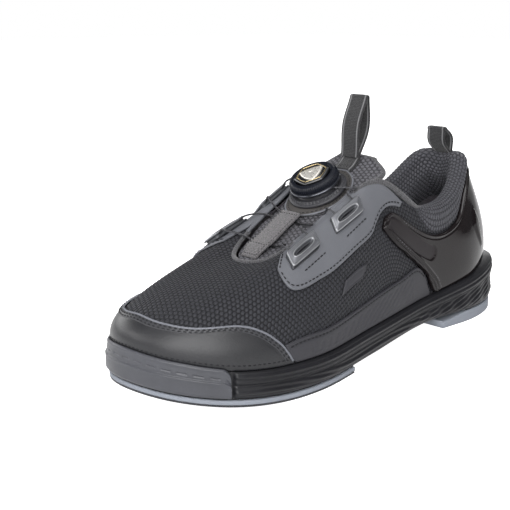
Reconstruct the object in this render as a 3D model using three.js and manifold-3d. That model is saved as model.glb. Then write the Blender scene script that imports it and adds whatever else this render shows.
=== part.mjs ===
// A left bowling shoe with a dial closure and interchangeable sole pads, in millimetres.
// X runs from the heel to the toe, Y to the wearer's outer (lateral) side and Z up.
// The origin is under the middle of the shoe, on the ground.
import * as THREE from "three";
import { mergeVertices } from "three/addons/utils/BufferGeometryUtils.js";
import Module from "manifold-3d";

const wasm = await Module();
wasm.setup();

// ---------------------------------------------------------------- driving dimensions
const LENGTH = 302; // sole, heel to toe
const WIDTH = 106; // sole, across the ball of the foot
const COLLAR_HEIGHT = 106; // ground to the back of the collar
const GAP = 0.3; // between pieces that are glued or sewn together
const LIFT = 0.5; // overlays above the knit, which bends more than they do

const SLIDE_PAD = 0.9; // microfibre that meets the lane
const SOLE_PAD = 2.5; // grey carrier under the forefoot
const HOOK_LAYER = 0.8; // hook and loop under each pad
const HEEL_PAD = 7.2; // grey heel block
const TOE_SPRING = 8.6; // how far the toe lifts off the ground
const PAD_INSET = 1.2; // sole pads inside the midsole's edge

const GUARD_WALL = 3; // rubber bumper round the toe
const GUARD_PROUD = 0.8; // bumper beyond the midsole's side
const SHANK = { length: 92, width: 20, thickness: 1.8 };
const BOARD = 1.5; // lasting board
const INSOLE = 4;

const MESH = 1.3; // knitted outer
const STIFFENER = 1.2; // toe puff and heel stiffener
const LINING = 1.2;
const OVERLAY = 1.2; // toe cap, mudguards and eyestays
const OVERLAY_TOP = LIFT + OVERLAY;
const BADGE = 0.6;
const BINDING = 0.9;
const COUNTER = 2.2; // moulded heel counter
const COLLAR_PAD = 9; // thickest point of the padded collar
const TONGUE = 7; // thickest point of the padded tongue
const TONGUE_EDGE_CLEARANCE = 1.2; // tongue to the throat's edge
const PATCH = 1.1; // leather under the dial
const WEBBING = 1.2;
const STRAP_WIDTH = 13;
const HEEL_TAB = { width: 14, height: 20, thickness: 2.6, opening: 8 };
const HEEL_TAB_LEAN = 0.35; // radians, towards the toe
const TONGUE_TAB_LEAN = -0.3; // towards the heel
const TONGUE_TAB = { width: 14, height: 38, thickness: 2.6, opening: 8 };

const LACE = 1.1; // diameter of the steel lace
const LACE_BORE = 2; // channels that the lace runs in
const GUIDE = { length: 22, width: 12.5, height: 4, bevel: 1.6 };

const KNOB_RADIUS = 15;
const KNOB_WALL = 1.9;
const KNOB_RIBS = 24;
const KNOB_CLEARANCE = 0.5; // knob to the housing it turns on
const DIAL_HEIGHT = 11.2; // seat to the rim of the knob
const FLANGE_RADIUS = 18;
const FLANGE = 1.5;
const HOUSING_WALL = 1.6;
const AXLE_RADIUS = 1.3;

// ---------------------------------------------------------------- the last
// Nine stations a side, from the back of the heel (0) to the tip of the toe (8).
// The lateral side takes stations 0 to 8 and the medial side 8 back to 16, so one
// number, t, goes all the way round.
const STATIONS = 16;
const BASE_LENGTH = 302;
const BASE_WIDTH = 106;
const BASE_COLLAR = 106;
const kx = LENGTH / BASE_LENGTH;
const ky = WIDTH / BASE_WIDTH;

const soleX = [0, 10, 45, 100, 160, 215, 262, 292, 302];
const soleLateral = [0, 26, 38, 37, 46, 55, 47, 25, -6];
const soleMedial = [0, -26, -37, -33, -41, -51, -52, -33, -6];
const featherInset = [11, 9.5, 6.5, 5, 4.5, 4.5, 4.5, 4.5, 4.5]; // upper inside the sole's edge
const featherZ = [37, 36, 30, 23, 20, 19, 21, 27, 30]; // height of the midsole at the upper
const mouthX = [33, 41, 65, 97, 136, 164, 194, 215, 222];
const mouthY = [0, 18, 28, 31, 26, 21.5, 20, 13, 0];
const mouthZ = [106, 105, 85, 81, 103, 92, 76, 66, 64];
const bulge = [3, 3, 4, 3, 1, 2, 5, 7, 8]; // lower control point, outwards
const rise = [28, 28, 24, 24, 24, 20, 20, 18, 17]; // lower control point, upwards
const spread = [10, 8, 6, 6, 14, 19, 25, 33, 38]; // upper control point, out from the mouth
const fall = [20, 22, 22, 20, 14, 8, 4, 3, 4]; // upper control point, below the mouth

const station = (k) => (k <= 8 ? k : STATIONS - k);
const ringOf = (pointAt) =>
  new THREE.CatmullRomCurve3(
    Array.from({ length: STATIONS }, (_, k) => pointAt(k)),
    true,
    "catmullrom",
    0.5,
  );
const at = (ring, t) => ring.getPoint((((t / STATIONS) % 1) + 1) % 1);

const kz = (COLLAR_HEIGHT - featherZ[0]) / (BASE_COLLAR - featherZ[0]);
const solePoint = (k) => {
  const y = k <= 8 ? soleLateral[k] : soleMedial[STATIONS - k];
  return new THREE.Vector3(soleX[station(k)] * kx, y * ky, 0);
};
const soleRing = ringOf(solePoint);
const outwards = (k) => {
  const d = solePoint((k + 1) % STATIONS).sub(solePoint((k + STATIONS - 1) % STATIONS));
  return new THREE.Vector3(-d.y, d.x, 0).normalize();
};
const featherPoint = (k) =>
  solePoint(k)
    .addScaledVector(outwards(k), -featherInset[station(k)])
    .setZ(featherZ[station(k)]);
const mouthPoint = (k) => {
  const s = station(k);
  const z = featherZ[s] + (mouthZ[s] - featherZ[s]) * kz;
  return new THREE.Vector3(mouthX[s] * kx, mouthY[s] * (k <= 8 ? ky : -ky), z);
};
const lowerControl = (k) => {
  const s = station(k);
  return featherPoint(k)
    .addScaledVector(outwards(k), bulge[s])
    .add(new THREE.Vector3(0, 0, rise[s] * kz));
};
const upperControl = (k) => {
  const s = station(k);
  const out = featherPoint(k).sub(mouthPoint(k)).setZ(0).normalize();
  return mouthPoint(k)
    .addScaledVector(out, spread[s])
    .add(new THREE.Vector3(0, 0, -fall[s] * kz));
};
const featherRing = ringOf(featherPoint);
const lowerRing = ringOf(lowerControl);
const upperRing = ringOf(upperControl);
const mouthRing = ringOf(mouthPoint);

// A point of the last: t round the shoe, v from the feather edge (0) to the mouth (1).
function last(t, v) {
  const w = 1 - v;
  return at(featherRing, t)
    .multiplyScalar(w * w * w)
    .addScaledVector(at(lowerRing, t), 3 * w * w * v)
    .addScaledVector(at(upperRing, t), 3 * w * v * v)
    .addScaledVector(at(mouthRing, t), v * v * v);
}
function lastNormal(t, v) {
  const e = 0.004;
  const along = last(t + e, v).sub(last(t - e, v));
  const up = last(t, Math.min(v + e, 1)).sub(last(t, Math.max(v - e, 0)));
  return up.cross(along).normalize();
}
const over = (t, v, height) => last(t, v).addScaledVector(lastNormal(t, v), height);

// ---------------------------------------------------------------- solids
// Welds loose triangles into one closed geometry and turns it the right way out.
function weld(triangles) {
  const loose = new THREE.BufferGeometry().setFromPoints(triangles);
  const merged = mergeVertices(loose, 1e-3);
  const index = merged.index.array;
  const kept = [];
  for (let i = 0; i < index.length; i += 3) {
    const [a, b, c] = index.slice(i, i + 3);
    if (a !== b && b !== c && c !== a) kept.push(a, b, c);
  }
  merged.setIndex(kept);
  return volumeOf(merged) < 0 ? flipped(merged) : merged;
}
function volumeOf(geometry) {
  const p = geometry.getAttribute("position");
  const index = geometry.index.array;
  const [a, b, c] = [new THREE.Vector3(), new THREE.Vector3(), new THREE.Vector3()];
  let sum = 0;
  for (let i = 0; i < index.length; i += 3) {
    a.fromBufferAttribute(p, index[i]);
    b.fromBufferAttribute(p, index[i + 1]);
    c.fromBufferAttribute(p, index[i + 2]);
    sum += a.dot(b.cross(c)) / 6;
  }
  return sum;
}
function flipped(geometry) {
  const index = Array.from(geometry.index.array);
  for (let i = 0; i < index.length; i += 3) {
    [index[i], index[i + 1]] = [index[i + 1], index[i]];
  }
  return geometry.setIndex(index);
}
// Joins closed sections into a solid. Point k of a section faces point n - 1 - k
// across it, which is how its ends are closed.
function sweep(sections) {
  const triangles = [];
  const quad = (a, b, c, d) => triangles.push(a, b, c, a, c, d);
  const n = sections[0].length;
  for (let i = 0; i + 1 < sections.length; i++) {
    const [s, next] = [sections[i], sections[i + 1]];
    for (let k = 0; k < n; k++) {
      const l = (k + 1) % n;
      quad(s[k], next[k], next[l], s[l]);
    }
  }
  const [s, e] = [sections[0], sections[sections.length - 1]];
  for (let k = 0; k < n / 2 - 1; k++) {
    quad(s[k], s[k + 1], s[n - 2 - k], s[n - 1 - k]);
    quad(e[k], e[n - 1 - k], e[n - 2 - k], e[k + 1]);
  }
  return weld(triangles);
}
const pointsOf = (attribute) =>
  Array.from({ length: attribute.count }, (_, i) => new THREE.Vector3().fromBufferAttribute(attribute, i));
const steps = (from, to, n) => Array.from({ length: n + 1 }, (_, i) => from + ((to - from) * i) / n);

const splineOf = (points) => new THREE.SplineCurve(points.map((p) => new THREE.Vector2(...p)));

// A panel of the upper between two edges, each a curve in (t, v), lying from low to
// high above the last.
function panel(edgeA, edgeB, low, high, along, across) {
  const curves = [edgeA, edgeB].map((e) => splineOf(e));
  return sweep(
    steps(0, 1, along).map((s) => {
      const [a, b] = curves.map((c) => c.getPoint(s));
      const points = steps(0, 1, across).map((r) => a.clone().lerp(b, r));
      return [
        ...points.map((p) => over(p.x, p.y, high)),
        ...points.reverse().map((p) => over(p.x, p.y, low)),
      ];
    }),
  );
}
// A band round part of the last between two heights. Bands share one grid, quarter
// stations by these rows, so their facets lie parallel and layers stay evenly apart.
const ROWS = [0, 0.06, 0.12, 0.18, 0.25, 0.33, 0.45, 0.62, 0.82, 0.97, 1];
const COLUMNS = steps(-STATIONS, STATIONS, STATIONS * 8);
const gridBetween = (list, from, to) => [
  from,
  ...list.filter((x) => x > from + 0.02 && x < to - 0.02),
  to,
];
function band(t0, t1, v0, v1, low, high) {
  const rows = gridBetween(ROWS, v0, v1);
  return sweep(
    gridBetween(COLUMNS, t0, t1).map((t) => [
      ...rows.map((v) => over(t, v, high(t, v))),
      ...rows.map((v) => over(t, v, low(t, v))).reverse(),
    ]),
  );
}
const constant = (value) => () => value;
const solidOf = (geometry) => {
  const bare = geometry.clone();
  bare.deleteAttribute("normal");
  bare.deleteAttribute("uv");
  const g = mergeVertices(bare, 1e-3);
  return new wasm.Manifold(
    new wasm.Mesh({
      numProp: 3,
      vertProperties: g.getAttribute("position").array,
      triVerts: new Uint32Array(g.index.array),
    }),
  );
};
const geometryOf = (solid) => {
  const mesh = solid.getMesh();
  return new THREE.BufferGeometry()
    .setAttribute("position", new THREE.BufferAttribute(mesh.vertProperties, 3))
    .setIndex(new THREE.BufferAttribute(mesh.triVerts, 1));
};
const cut = (geometry, ...tools) =>
  geometryOf(tools.reduce((s, tool) => s.subtract(solidOf(tool)), solidOf(geometry)));

// ---------------------------------------------------------------- materials
const paint = (color, roughness, metalness = 0) =>
  new THREE.MeshStandardMaterial({ color, roughness, metalness });
const materials = {
  slide: paint(0x2a2b30, 0.9),
  grey: paint(0xa9b4bd, 0.7),
  hook: paint(0x1c1c1e, 0.95),
  midsole: paint(0x232326, 0.6),
  guard: paint(0x3a3b40, 0.55),
  steel: paint(0x8d9094, 0.35, 1),
  board: paint(0x8a8272, 0.9),
  insole: paint(0x2b2b30, 0.9),
  mesh: paint(0x2d2d31, 0.75),
  stiff: paint(0xb9b2a2, 0.8),
  lining: paint(0x2a2a2e, 0.9),
  leather: paint(0x333338, 0.45),
  overlay: paint(0x4b4b50, 0.6),
  counter: paint(0x151113, 0.12),
  padding: paint(0x2b2b2f, 0.85),
  webbing: paint(0x3e3c40, 0.85),
  lace: paint(0x2c2c30, 0.35, 1),
  guide: paint(0x6a6d71, 0.35, 0.3),
  knob: paint(0x1d1e22, 0.45),
  cap: paint(0x8b8168, 0.15, 0.9),
};

const shoe = new THREE.Group();
function add(name, geometry, material, parent = shoe) {
  const mesh = new THREE.Mesh(geometry, materials[material]);
  mesh.name = name;
  parent.add(mesh);
  return mesh;
}

// ---------------------------------------------------------------- bottom unit
const toeLift = (x) => {
  const start = 225 * kx;
  return x > start ? TOE_SPRING * ((x - start) / (LENGTH - start)) ** 2 : 0;
};
const FOREFOOT_START = 4.35; // stations where the pads end
const HEEL_END = 2.62;
const GUARD_END = 6.15;
const forefootStack = SLIDE_PAD + SOLE_PAD + HOOK_LAYER + 3 * GAP;
const heelStack = HEEL_PAD + HOOK_LAYER + 2 * GAP;

// The midsole's underside, level over each pad and sloping across the arch.
function underside(x) {
  const from = at(soleRing, HEEL_END).x;
  const to = at(soleRing, FOREFOOT_START).x;
  const s = THREE.MathUtils.smoothstep(x, from, to);
  return THREE.MathUtils.lerp(heelStack, forefootStack, s) + toeLift(x);
}
// A point on the sole's outline moved inwards, with a height worked out from its x.
function edge(t, inset, height) {
  const p = at(soleRing, t);
  const d = at(soleRing, t + 0.01).sub(at(soleRing, t - 0.01));
  p.addScaledVector(new THREE.Vector3(-d.y, d.x, 0).normalize(), -inset);
  return p.setZ(height(p.x));
}
// A slab between two stations a side, from its lateral edge to its medial edge.
function slab(t0, t1, n, wall) {
  return sweep(
    steps(t0, t1, n).map((t) => [...wall(t), ...wall(STATIONS - t).reverse()]),
  );
}
const flatWall = (inset, low, high) => (t) => [edge(t, inset, low), edge(t, inset, high)];

const layer = (from, to) => [(x) => from + toeLift(x), (x) => to + toeLift(x)];
const soleTop = SLIDE_PAD + GAP + SOLE_PAD;
const hookInset = PAD_INSET + 1;
const forefootHook = layer(soleTop + GAP, soleTop + GAP + HOOK_LAYER);
const heelHook = [constant(HEEL_PAD + GAP), constant(HEEL_PAD + GAP + HOOK_LAYER)];
const HEEL_TAPER = 0.45; // stations over which the heel pad thins out
add(
  "forefoot_slide_pad",
  slab(FOREFOOT_START, 8, 18, flatWall(PAD_INSET, ...layer(0, SLIDE_PAD))),
  "slide",
);
add(
  "forefoot_sole_pad",
  slab(FOREFOOT_START, 8, 18, flatWall(PAD_INSET, ...layer(SLIDE_PAD + GAP, soleTop))),
  "grey",
);
add(
  "forefoot_hook_layer",
  slab(FOREFOOT_START, 8, 18, flatWall(hookInset, ...forefootHook)),
  "hook",
);
const heelWall = (t) => {
  const taper = THREE.MathUtils.smoothstep(t, HEEL_END - HEEL_TAPER, HEEL_END);
  return [
    edge(t, PAD_INSET, constant(0)),
    edge(t, PAD_INSET, constant(HEEL_PAD * (1 - 0.35 * taper))),
  ];
};
add("heel_pad", slab(0, HEEL_END, 12, heelWall), "grey");
add(
  "heel_hook_layer",
  slab(0, HEEL_END - HEEL_TAPER, 10, flatWall(hookInset, ...heelHook)),
  "hook",
);

const featherHeight = (t) => at(featherRing, t).z;
const inGuard = (t) => t > GUARD_END;
// Side of the midsole: a shallow waist between the bottom edge and the top bead.
function midsoleWall(t) {
  const s = t <= 8 ? t : STATIONS - t;
  const low = underside(at(soleRing, t).x);
  const high = featherHeight(t) - GAP;
  const inset = inGuard(s) ? GUARD_WALL + GAP - GUARD_PROUD : 0;
  const waist = inGuard(s) ? 0 : 1.2;
  const level = (share, extra) => edge(t, inset + extra, constant(low + (high - low) * share));
  const bottom = inGuard(s) ? 0 : 1.5;
  return [level(0, bottom), level(0.18, 0), level(0.5, waist), level(0.8, 0), level(1, 1)];
}
const midsoleStations = [...steps(0, GUARD_END, 20), GUARD_END + 0.03, ...steps(GUARD_END + 0.2, 8, 10)];
const midsole = sweep(
  midsoleStations.map((t) => [...midsoleWall(t), ...midsoleWall(STATIONS - t).reverse()]),
);

// The shank lies in a pocket in the top of the midsole, under the arch.
const shankMiddle = { x: 108 * kx, y: 1 };
const topAt = (x) => {
  const lateral = steps(0, 8, 160).map((t) => at(featherRing, t));
  const near = lateral.reduce((a, b) => (Math.abs(b.x - x) < Math.abs(a.x - x) ? b : a));
  return near.z;
};
const shankTilt = Math.atan2(
  topAt(shankMiddle.x - SHANK.length / 2) - topAt(shankMiddle.x + SHANK.length / 2),
  SHANK.length,
);
const shankPlace = new THREE.Matrix4()
  .makeRotationY(shankTilt)
  .setPosition(shankMiddle.x, shankMiddle.y, topAt(shankMiddle.x) - 1.2);
const shankBar = (grow, depth, drop) =>
  new THREE.BoxGeometry(SHANK.length + grow, SHANK.width + grow, depth)
    .translate(0, 0, -drop)
    .applyMatrix4(shankPlace);
const pocketDepth = 14;
add(
  "midsole",
  cut(midsole, shankBar(2 * GAP, pocketDepth, SHANK.thickness + GAP - pocketDepth / 2)),
  "midsole",
);
add("shank", shankBar(0, SHANK.thickness, SHANK.thickness / 2), "steel");

const toeInset = featherInset[8]; // the toe cap stands this far inside the sole's edge
const guardWall = (t) => {
  const low = underside(at(soleRing, t).x);
  const high = featherHeight(t) + 1.2;
  const inner = Math.min(GUARD_WALL - GUARD_PROUD, toeInset - OVERLAY_TOP - 2 * GAP);
  const z = (share) => constant(low + (high - low) * share);
  const out = [
    edge(t, -GUARD_PROUD + 1, z(0)),
    edge(t, -GUARD_PROUD, z(0.08)),
    edge(t, -GUARD_PROUD, z(0.55)),
    edge(t, -GUARD_PROUD + 0.8, z(0.58)),
    edge(t, -GUARD_PROUD + 1.4, z(1)),
  ];
  return [...out, ...[1, 0.58, 0.55, 0.08, 0].map((share) => edge(t, inner, z(share)))];
};
add(
  "toe_guard",
  sweep(steps(GUARD_END + 0.06, STATIONS - GUARD_END - 0.06, 32).map(guardWall)),
  "guard",
);

// Plates inside the upper follow the feather edge, a little above it.
const insideWall = (inset, low, high) => (t) => {
  const p = at(featherRing, t);
  const d = at(featherRing, t + 0.01).sub(at(featherRing, t - 0.01));
  p.addScaledVector(new THREE.Vector3(-d.y, d.x, 0).normalize(), -inset);
  return [p.clone().setZ(p.z + low), p.clone().setZ(p.z + high)];
};
const skin = MESH + STIFFENER + LINING + 2 * GAP; // whole thickness of the upper
const boardInset = skin + GAP + 0.8;
add("lasting_board", slab(0, 8, 20, insideWall(boardInset, 0, BOARD)), "board");
add(
  "insole",
  slab(0, 8, 20, insideWall(boardInset + 0.6, BOARD + GAP, BOARD + GAP + INSOLE)),
  "insole",
);

// ---------------------------------------------------------------- upper
const puffLow = -(MESH + GAP + STIFFENER);
const liningTop = puffLow - GAP;
// The knit is cut as a vamp, two quarters and a back, with seams under the overlays.
const VAMP_SEAM = 5.5;
const BACK_SEAM = 2.5;
const SEAM = 0.02; // of a station, between neighbouring pieces of knit
for (const [name, from, to] of [
  ["vamp", VAMP_SEAM, STATIONS - VAMP_SEAM],
  ["lateral_quarter", BACK_SEAM, VAMP_SEAM],
  ["medial_quarter", -VAMP_SEAM, -BACK_SEAM],
  ["back_quarter", -BACK_SEAM, BACK_SEAM],
]) {
  const piece = band(from + SEAM / 2, to - SEAM / 2, 0, 1, constant(-MESH), constant(0));
  add(`mesh_${name}`, piece, "mesh");
}

const seam = [
  [5.36, 0.03],
  [5.45, 0.1],
  [5.6, 0.18],
  [5.9, 0.27],
  [6.3, 0.32],
  [6.9, 0.3],
  [7.5, 0.31],
  [8, 0.33],
];
const mirrored = (points) => points.map(([t, v]) => [STATIONS - t, v]);
const bothSides = (points) => [...points, ...mirrored(points.slice(0, -1)).reverse()];
const rimEdge = 0.015; // overlays stop just above the midsole
const toeCapLow = steps(5.33, STATIONS - 5.33, 14).map((t) => [t, rimEdge * 0.6]);
add("toe_cap", panel(toeCapLow, bothSides(seam), LIFT, OVERLAY_TOP, 40, 6), "leather");
add(
  "toe_puff",
  band(6, 10, 0.06, 0.25, constant(puffLow), constant(puffLow + STIFFENER)),
  "stiff",
);
add(
  "heel_stiffener",
  band(-2.75, 2.75, 0.06, 0.62, constant(puffLow), constant(puffLow + STIFFENER)),
  "stiff",
);
const LINING_FROM = 3.5;
add(
  "vamp_lining",
  band(
    LINING_FROM + 0.25,
    STATIONS - LINING_FROM - 0.25,
    0.06,
    0.9,
    constant(liningTop - LINING),
    constant(liningTop),
  ),
  "lining",
);
// The collar pad swells towards the mouth and fades out above the insole.
const padSwell = (v) => {
  const swollen = THREE.MathUtils.smoothstep(v, 0.35, 0.8);
  const rim = 1 - 0.55 * THREE.MathUtils.smoothstep(v, 0.85, 1);
  return LINING + (COLLAR_PAD - LINING) * swollen * rim;
};
const padFade = (t) => 1 - THREE.MathUtils.smoothstep(Math.abs(t), 2.9, 3.5) * 0.75;
for (const [side, from, to] of [
  ["lateral", SEAM / 2, LINING_FROM],
  ["medial", -LINING_FROM, -SEAM / 2],
]) {
  const inside = (t, v) => liningTop - LINING - (padSwell(v) - LINING) * padFade(t);
  add(`${side}_collar_pad`, band(from, to, 0.06, 1, inside, constant(liningTop)), "padding");
}

const COUNTER_LIFT = 0.6; // stiff, so it stands a little off the knit
const counterFront = [
  [2.74, 0.02],
  [2.84, 0.16],
  [3.08, 0.36],
  [3.36, 0.485],
  [3.66, 0.565],
  [3.86, 0.63],
];
const counterTop = [
  [0, 0.9],
  [0.9, 0.89],
  [1.6, 0.86],
  [2.1, 0.74],
  [2.6, 0.7],
  [3.1, 0.765],
  [3.45, 0.775],
  [3.7, 0.765],
  [3.84, 0.7],
];
const counterLow = [
  [0, rimEdge],
  [1.4, rimEdge],
  ...counterFront,
];
// Counter edges run from the medial tip round the heel to the lateral tip.
const roundHeel = (points) => [
  ...points.slice(1).map(([t, v]) => [-t, v]).reverse(),
  ...points,
];
const along = (points, n) => {
  return splineOf(points)
    .getSpacedPoints(n)
    .map((p) => [p.x, p.y]);
};
add(
  "heel_counter",
  panel(
    along(roundHeel(counterLow), 48),
    along(roundHeel(counterTop), 48),
    COUNTER_LIFT,
    COUNTER_LIFT + COUNTER,
    48,
    6,
  ),
  "counter",
);

// Mudguard strips fill the foot of the quarters between the toe cap and the counter.
const mudTop = [
  [2.96, 0.24],
  [3.12, 0.36],
  [3.45, 0.28],
  [4.05, 0.21],
  [4.75, 0.19],
  [5.25, 0.187],
  [5.51, 0.16],
];
const mudLow = [
  [2.83, rimEdge],
  [3.2, rimEdge],
  [3.7, rimEdge],
  [4.2, rimEdge],
  [4.7, rimEdge],
  [5.1, rimEdge],
  [5.32, rimEdge],
];
// Eyestays carry the lace guides along the throat.
const stayInner = [
  [3.52, 0.91],
  [3.9, 0.945],
  [4.25, 0.955],
  [4.5, 0.985],
  [5, 0.985],
  [5.5, 0.985],
  [5.95, 0.96],
  [6.25, 0.84],
];
const stayOuter = [
  [3.56, 0.83],
  [3.93, 0.79],
  [4, 0.66],
  [4.13, 0.58],
  [4.55, 0.53],
  [5.1, 0.485],
  [5.6, 0.485],
  [6.08, 0.68],
];
for (const [side, turn] of [
  ["lateral", (points) => points],
  ["medial", mirrored],
]) {
  const mudguard = panel(turn(mudLow), turn(mudTop), LIFT, OVERLAY_TOP, 20, 3);
  const eyestay = panel(turn(stayInner), turn(stayOuter), LIFT, OVERLAY_TOP, 22, 5);
  add(`${side}_mudguard`, mudguard, "overlay");
  add(`${side}_eyestay`, eyestay, "overlay");
}
const badgeTop = [
  [4.12, 0.44],
  [4.35, 0.425],
  [4.58, 0.405],
];
const badgeLow = [
  [4.2, 0.365],
  [4.4, 0.35],
  [4.63, 0.33],
];
add("side_badge", panel(badgeTop, badgeLow, LIFT, LIFT + BADGE, 8, 2), "overlay");
// Knitted binding along the collar and the top of the eyestays.
add(
  "collar_binding",
  band(-4.25, 4.25, 0.975, 1, constant(LIFT), constant(LIFT + BINDING)),
  "mesh",
);

// ---------------------------------------------------------------- tongue
// Centre line of the tongue's top face, from the throat to its free end.
const tongueX = [219.5, 205, 190, 175, 160, 145, 133, 126];
const tongueZ = [64, 69.5, 78, 86.5, 95, 103, 109.5, 115];
const crown = [0.009, 0.0055, 0.008]; // fall per square millimetre: throat, dial, free end
const tonguePath = new THREE.CatmullRomCurve3(
  tongueX.map((x, i) => {
    const base = 20;
    return new THREE.Vector3(x * kx, 0, base + (tongueZ[i] - base) * kz);
  }),
  false,
  "catmullrom",
  0.5,
);
function tongueFrame(s) {
  const p = tonguePath.getPoint(s);
  const d = tonguePath.getTangent(s);
  return { p, up: new THREE.Vector3(d.z, 0, -d.x).normalize() };
}
// The throat's half width at an x, found between the dial end (4) and the toe end (8).
function throatHalf(x) {
  let [near, far] = [4, 8];
  for (let i = 0; i < 24; i++) {
    const mid = (near + far) / 2;
    if (at(mouthRing, mid).x < x) near = mid;
    else far = mid;
  }
  return at(mouthRing, near).y;
}
const DIAL_AT = 0.575; // place of the dial along the tongue's centre line
const TONGUE_FREE_HALF = 24; // beyond the throat
const throatEnd = at(mouthRing, 4).x;
const tongueHalf = (s) => {
  const free = TONGUE_FREE_HALF * ky;
  const x = tonguePath.getPoint(s).x + TONGUE_EDGE_CLEARANCE;
  const half = x < throatEnd ? free : Math.min(throatHalf(x) - TONGUE_EDGE_CLEARANCE, free);
  return Math.max(half, 3) * (1 - 0.45 * THREE.MathUtils.smoothstep(s, 0.86, 1));
};
const fallAt = (s) =>
  s < DIAL_AT
    ? THREE.MathUtils.lerp(crown[0], crown[1], THREE.MathUtils.smoothstep(s, 0.1, DIAL_AT - 0.15))
    : THREE.MathUtils.lerp(crown[1], crown[2], THREE.MathUtils.smoothstep(s, DIAL_AT + 0.15, 1));
function onTongue(s, y, height) {
  const { p, up } = tongueFrame(s);
  return p.clone().addScaledVector(up, height - fallAt(s) * y * y).setY(y);
}
// A piece that follows the tongue's face, between two heights above it.
function tonguePiece(list, half, low, high, across) {
  return sweep(
    list.map((s) => {
      const ys = steps(-half(s), half(s), across);
      return [
        ...ys.map((y) => onTongue(s, y, high(s, y / half(s)))),
        ...ys.map((y) => onTongue(s, y, low(s, y / half(s)))).reverse(),
      ];
    }),
  );
}
const tongueThickness = (s, q) => {
  const throat = 0.45 + 0.55 * THREE.MathUtils.smoothstep(s, 0, 0.5);
  const end = 1 - 0.4 * THREE.MathUtils.smoothstep(s, 0.9, 1);
  return TONGUE * throat * end * Math.sqrt(1 - 0.75 * q * q);
};
add(
  "tongue",
  tonguePiece(
    [0, 0.01, 0.025, 0.05, ...steps(0.1, 1, 18)],
    tongueHalf,
    (s, q) => -tongueThickness(s, q),
    constant(0),
    8,
  ),
  "padding",
);

// Thin webs under the upper close the gap round the tongue: a gusset at each side and
// one across the front.
const WEB = 0.8;
const WEB_DROP = 6.6; // below the tongue's face at its edges
function gusset(side) {
  return sweep(
    steps(0.2, 0.62, 9).map((s) => {
      const start = tongueHalf(s) - 3;
      const ys = steps(start, start + 5, 3).map((y) => y * side);
      return [
        ...ys.map((y) => onTongue(s, y, -WEB_DROP)),
        ...ys.map((y) => onTongue(s, y, -WEB_DROP - WEB)).reverse(),
      ];
    }),
  );
}
add("lateral_gusset", gusset(1), "lining");
add("medial_gusset", gusset(-1), "lining");

// ---------------------------------------------------------------- dial
const PATCH_HALF_LENGTH = 0.195; // along the tongue's centre line
const PATCH_HALF_WIDTH = 19.5;
const patchHalf = (s) => {
  const q = (s - DIAL_AT) / (PATCH_HALF_LENGTH + 0.005);
  return Math.min(PATCH_HALF_WIDTH, tongueHalf(DIAL_AT)) * Math.sqrt(Math.max(1 - q * q, 0.1));
};
const patchSteps = steps(DIAL_AT - PATCH_HALF_LENGTH, DIAL_AT + PATCH_HALF_LENGTH, 12);
const patch = (low, high) => tonguePiece(patchSteps, patchHalf, constant(low), constant(high), 6);
add("dial_patch", patch(GAP, GAP + PATCH), "leather");
const dialFrame = tongueFrame(DIAL_AT);
const dial = new THREE.Group();
dial.position.copy(dialFrame.p).addScaledVector(dialFrame.up, PATCH + 3 * GAP);
dial.quaternion.setFromUnitVectors(new THREE.Vector3(0, 0, 1), dialFrame.up);
dial.updateMatrixWorld(true);
shoe.add(dial);

const SEGMENTS = 40;
const turned = (profile, segments = SEGMENTS) => {
  const points = profile.map(([r, z]) => new THREE.Vector2(r, z));
  points.push(points[0].clone());
  const lathe = new THREE.LatheGeometry(points, segments).rotateX(Math.PI / 2);
  const bare = lathe.toNonIndexed().getAttribute("position");
  return weld(pointsOf(bare));
};
const housingOuter = KNOB_RADIUS - KNOB_WALL - KNOB_CLEARANCE;
const housingInner = housingOuter - HOUSING_WALL;
const floorTop = FLANGE;
const spoolLow = floorTop + GAP;
const spoolHigh = spoolLow + 3.8;
const pawlLow = spoolHigh + GAP;
const pawlHigh = pawlLow + 0.9;
const knobPlate = pawlHigh + 0.4;
const spoolRadius = housingInner - 0.6;
const grooveRadius = spoolRadius - 3;
const spoolFlange = 0.8;
const laceLevel = (spoolLow + spoolHigh) / 2;

const boreRadius = AXLE_RADIUS + 0.3;
const SKIRT = 3; // the flange reaches down to the patch, whose shape is cut from it
const housing = turned([
  [boreRadius, -SKIRT],
  [FLANGE_RADIUS, -SKIRT],
  [FLANGE_RADIUS, 0.9],
  [housingOuter, FLANGE],
  [housingOuter, pawlHigh],
  [housingInner, pawlHigh],
  [housingInner, floorTop],
  [boreRadius, floorTop],
]);
const spoolHub = AXLE_RADIUS + 0.4;
add(
  "dial_spool",
  turned([
    [spoolHub, spoolLow],
    [spoolRadius, spoolLow],
    [spoolRadius, spoolLow + spoolFlange],
    [grooveRadius, spoolLow + spoolFlange],
    [grooveRadius, spoolHigh - spoolFlange],
    [spoolRadius, spoolHigh - spoolFlange],
    [spoolRadius, spoolHigh],
    [spoolHub, spoolHigh],
  ], 28),
  "knob",
  dial,
);
const coilOuter = grooveRadius + 1.5;
add(
  "lace_coil",
  turned([
    [grooveRadius + GAP, spoolLow + spoolFlange + GAP],
    [coilOuter, spoolLow + spoolFlange + GAP],
    [coilOuter, spoolHigh - spoolFlange - GAP],
    [grooveRadius + GAP, spoolHigh - spoolFlange - GAP],
  ], 28),
  "lace",
  dial,
);
const axleHead = AXLE_RADIUS + 1.3;
add(
  "dial_axle_screw",
  turned([
    [0, 0.6],
    [AXLE_RADIUS, 0.6],
    [AXLE_RADIUS, spoolHigh + GAP],
    [axleHead, spoolHigh + GAP],
    [axleHead, pawlHigh],
    [0, pawlHigh],
  ], 20),
  "steel",
  dial,
);
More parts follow.
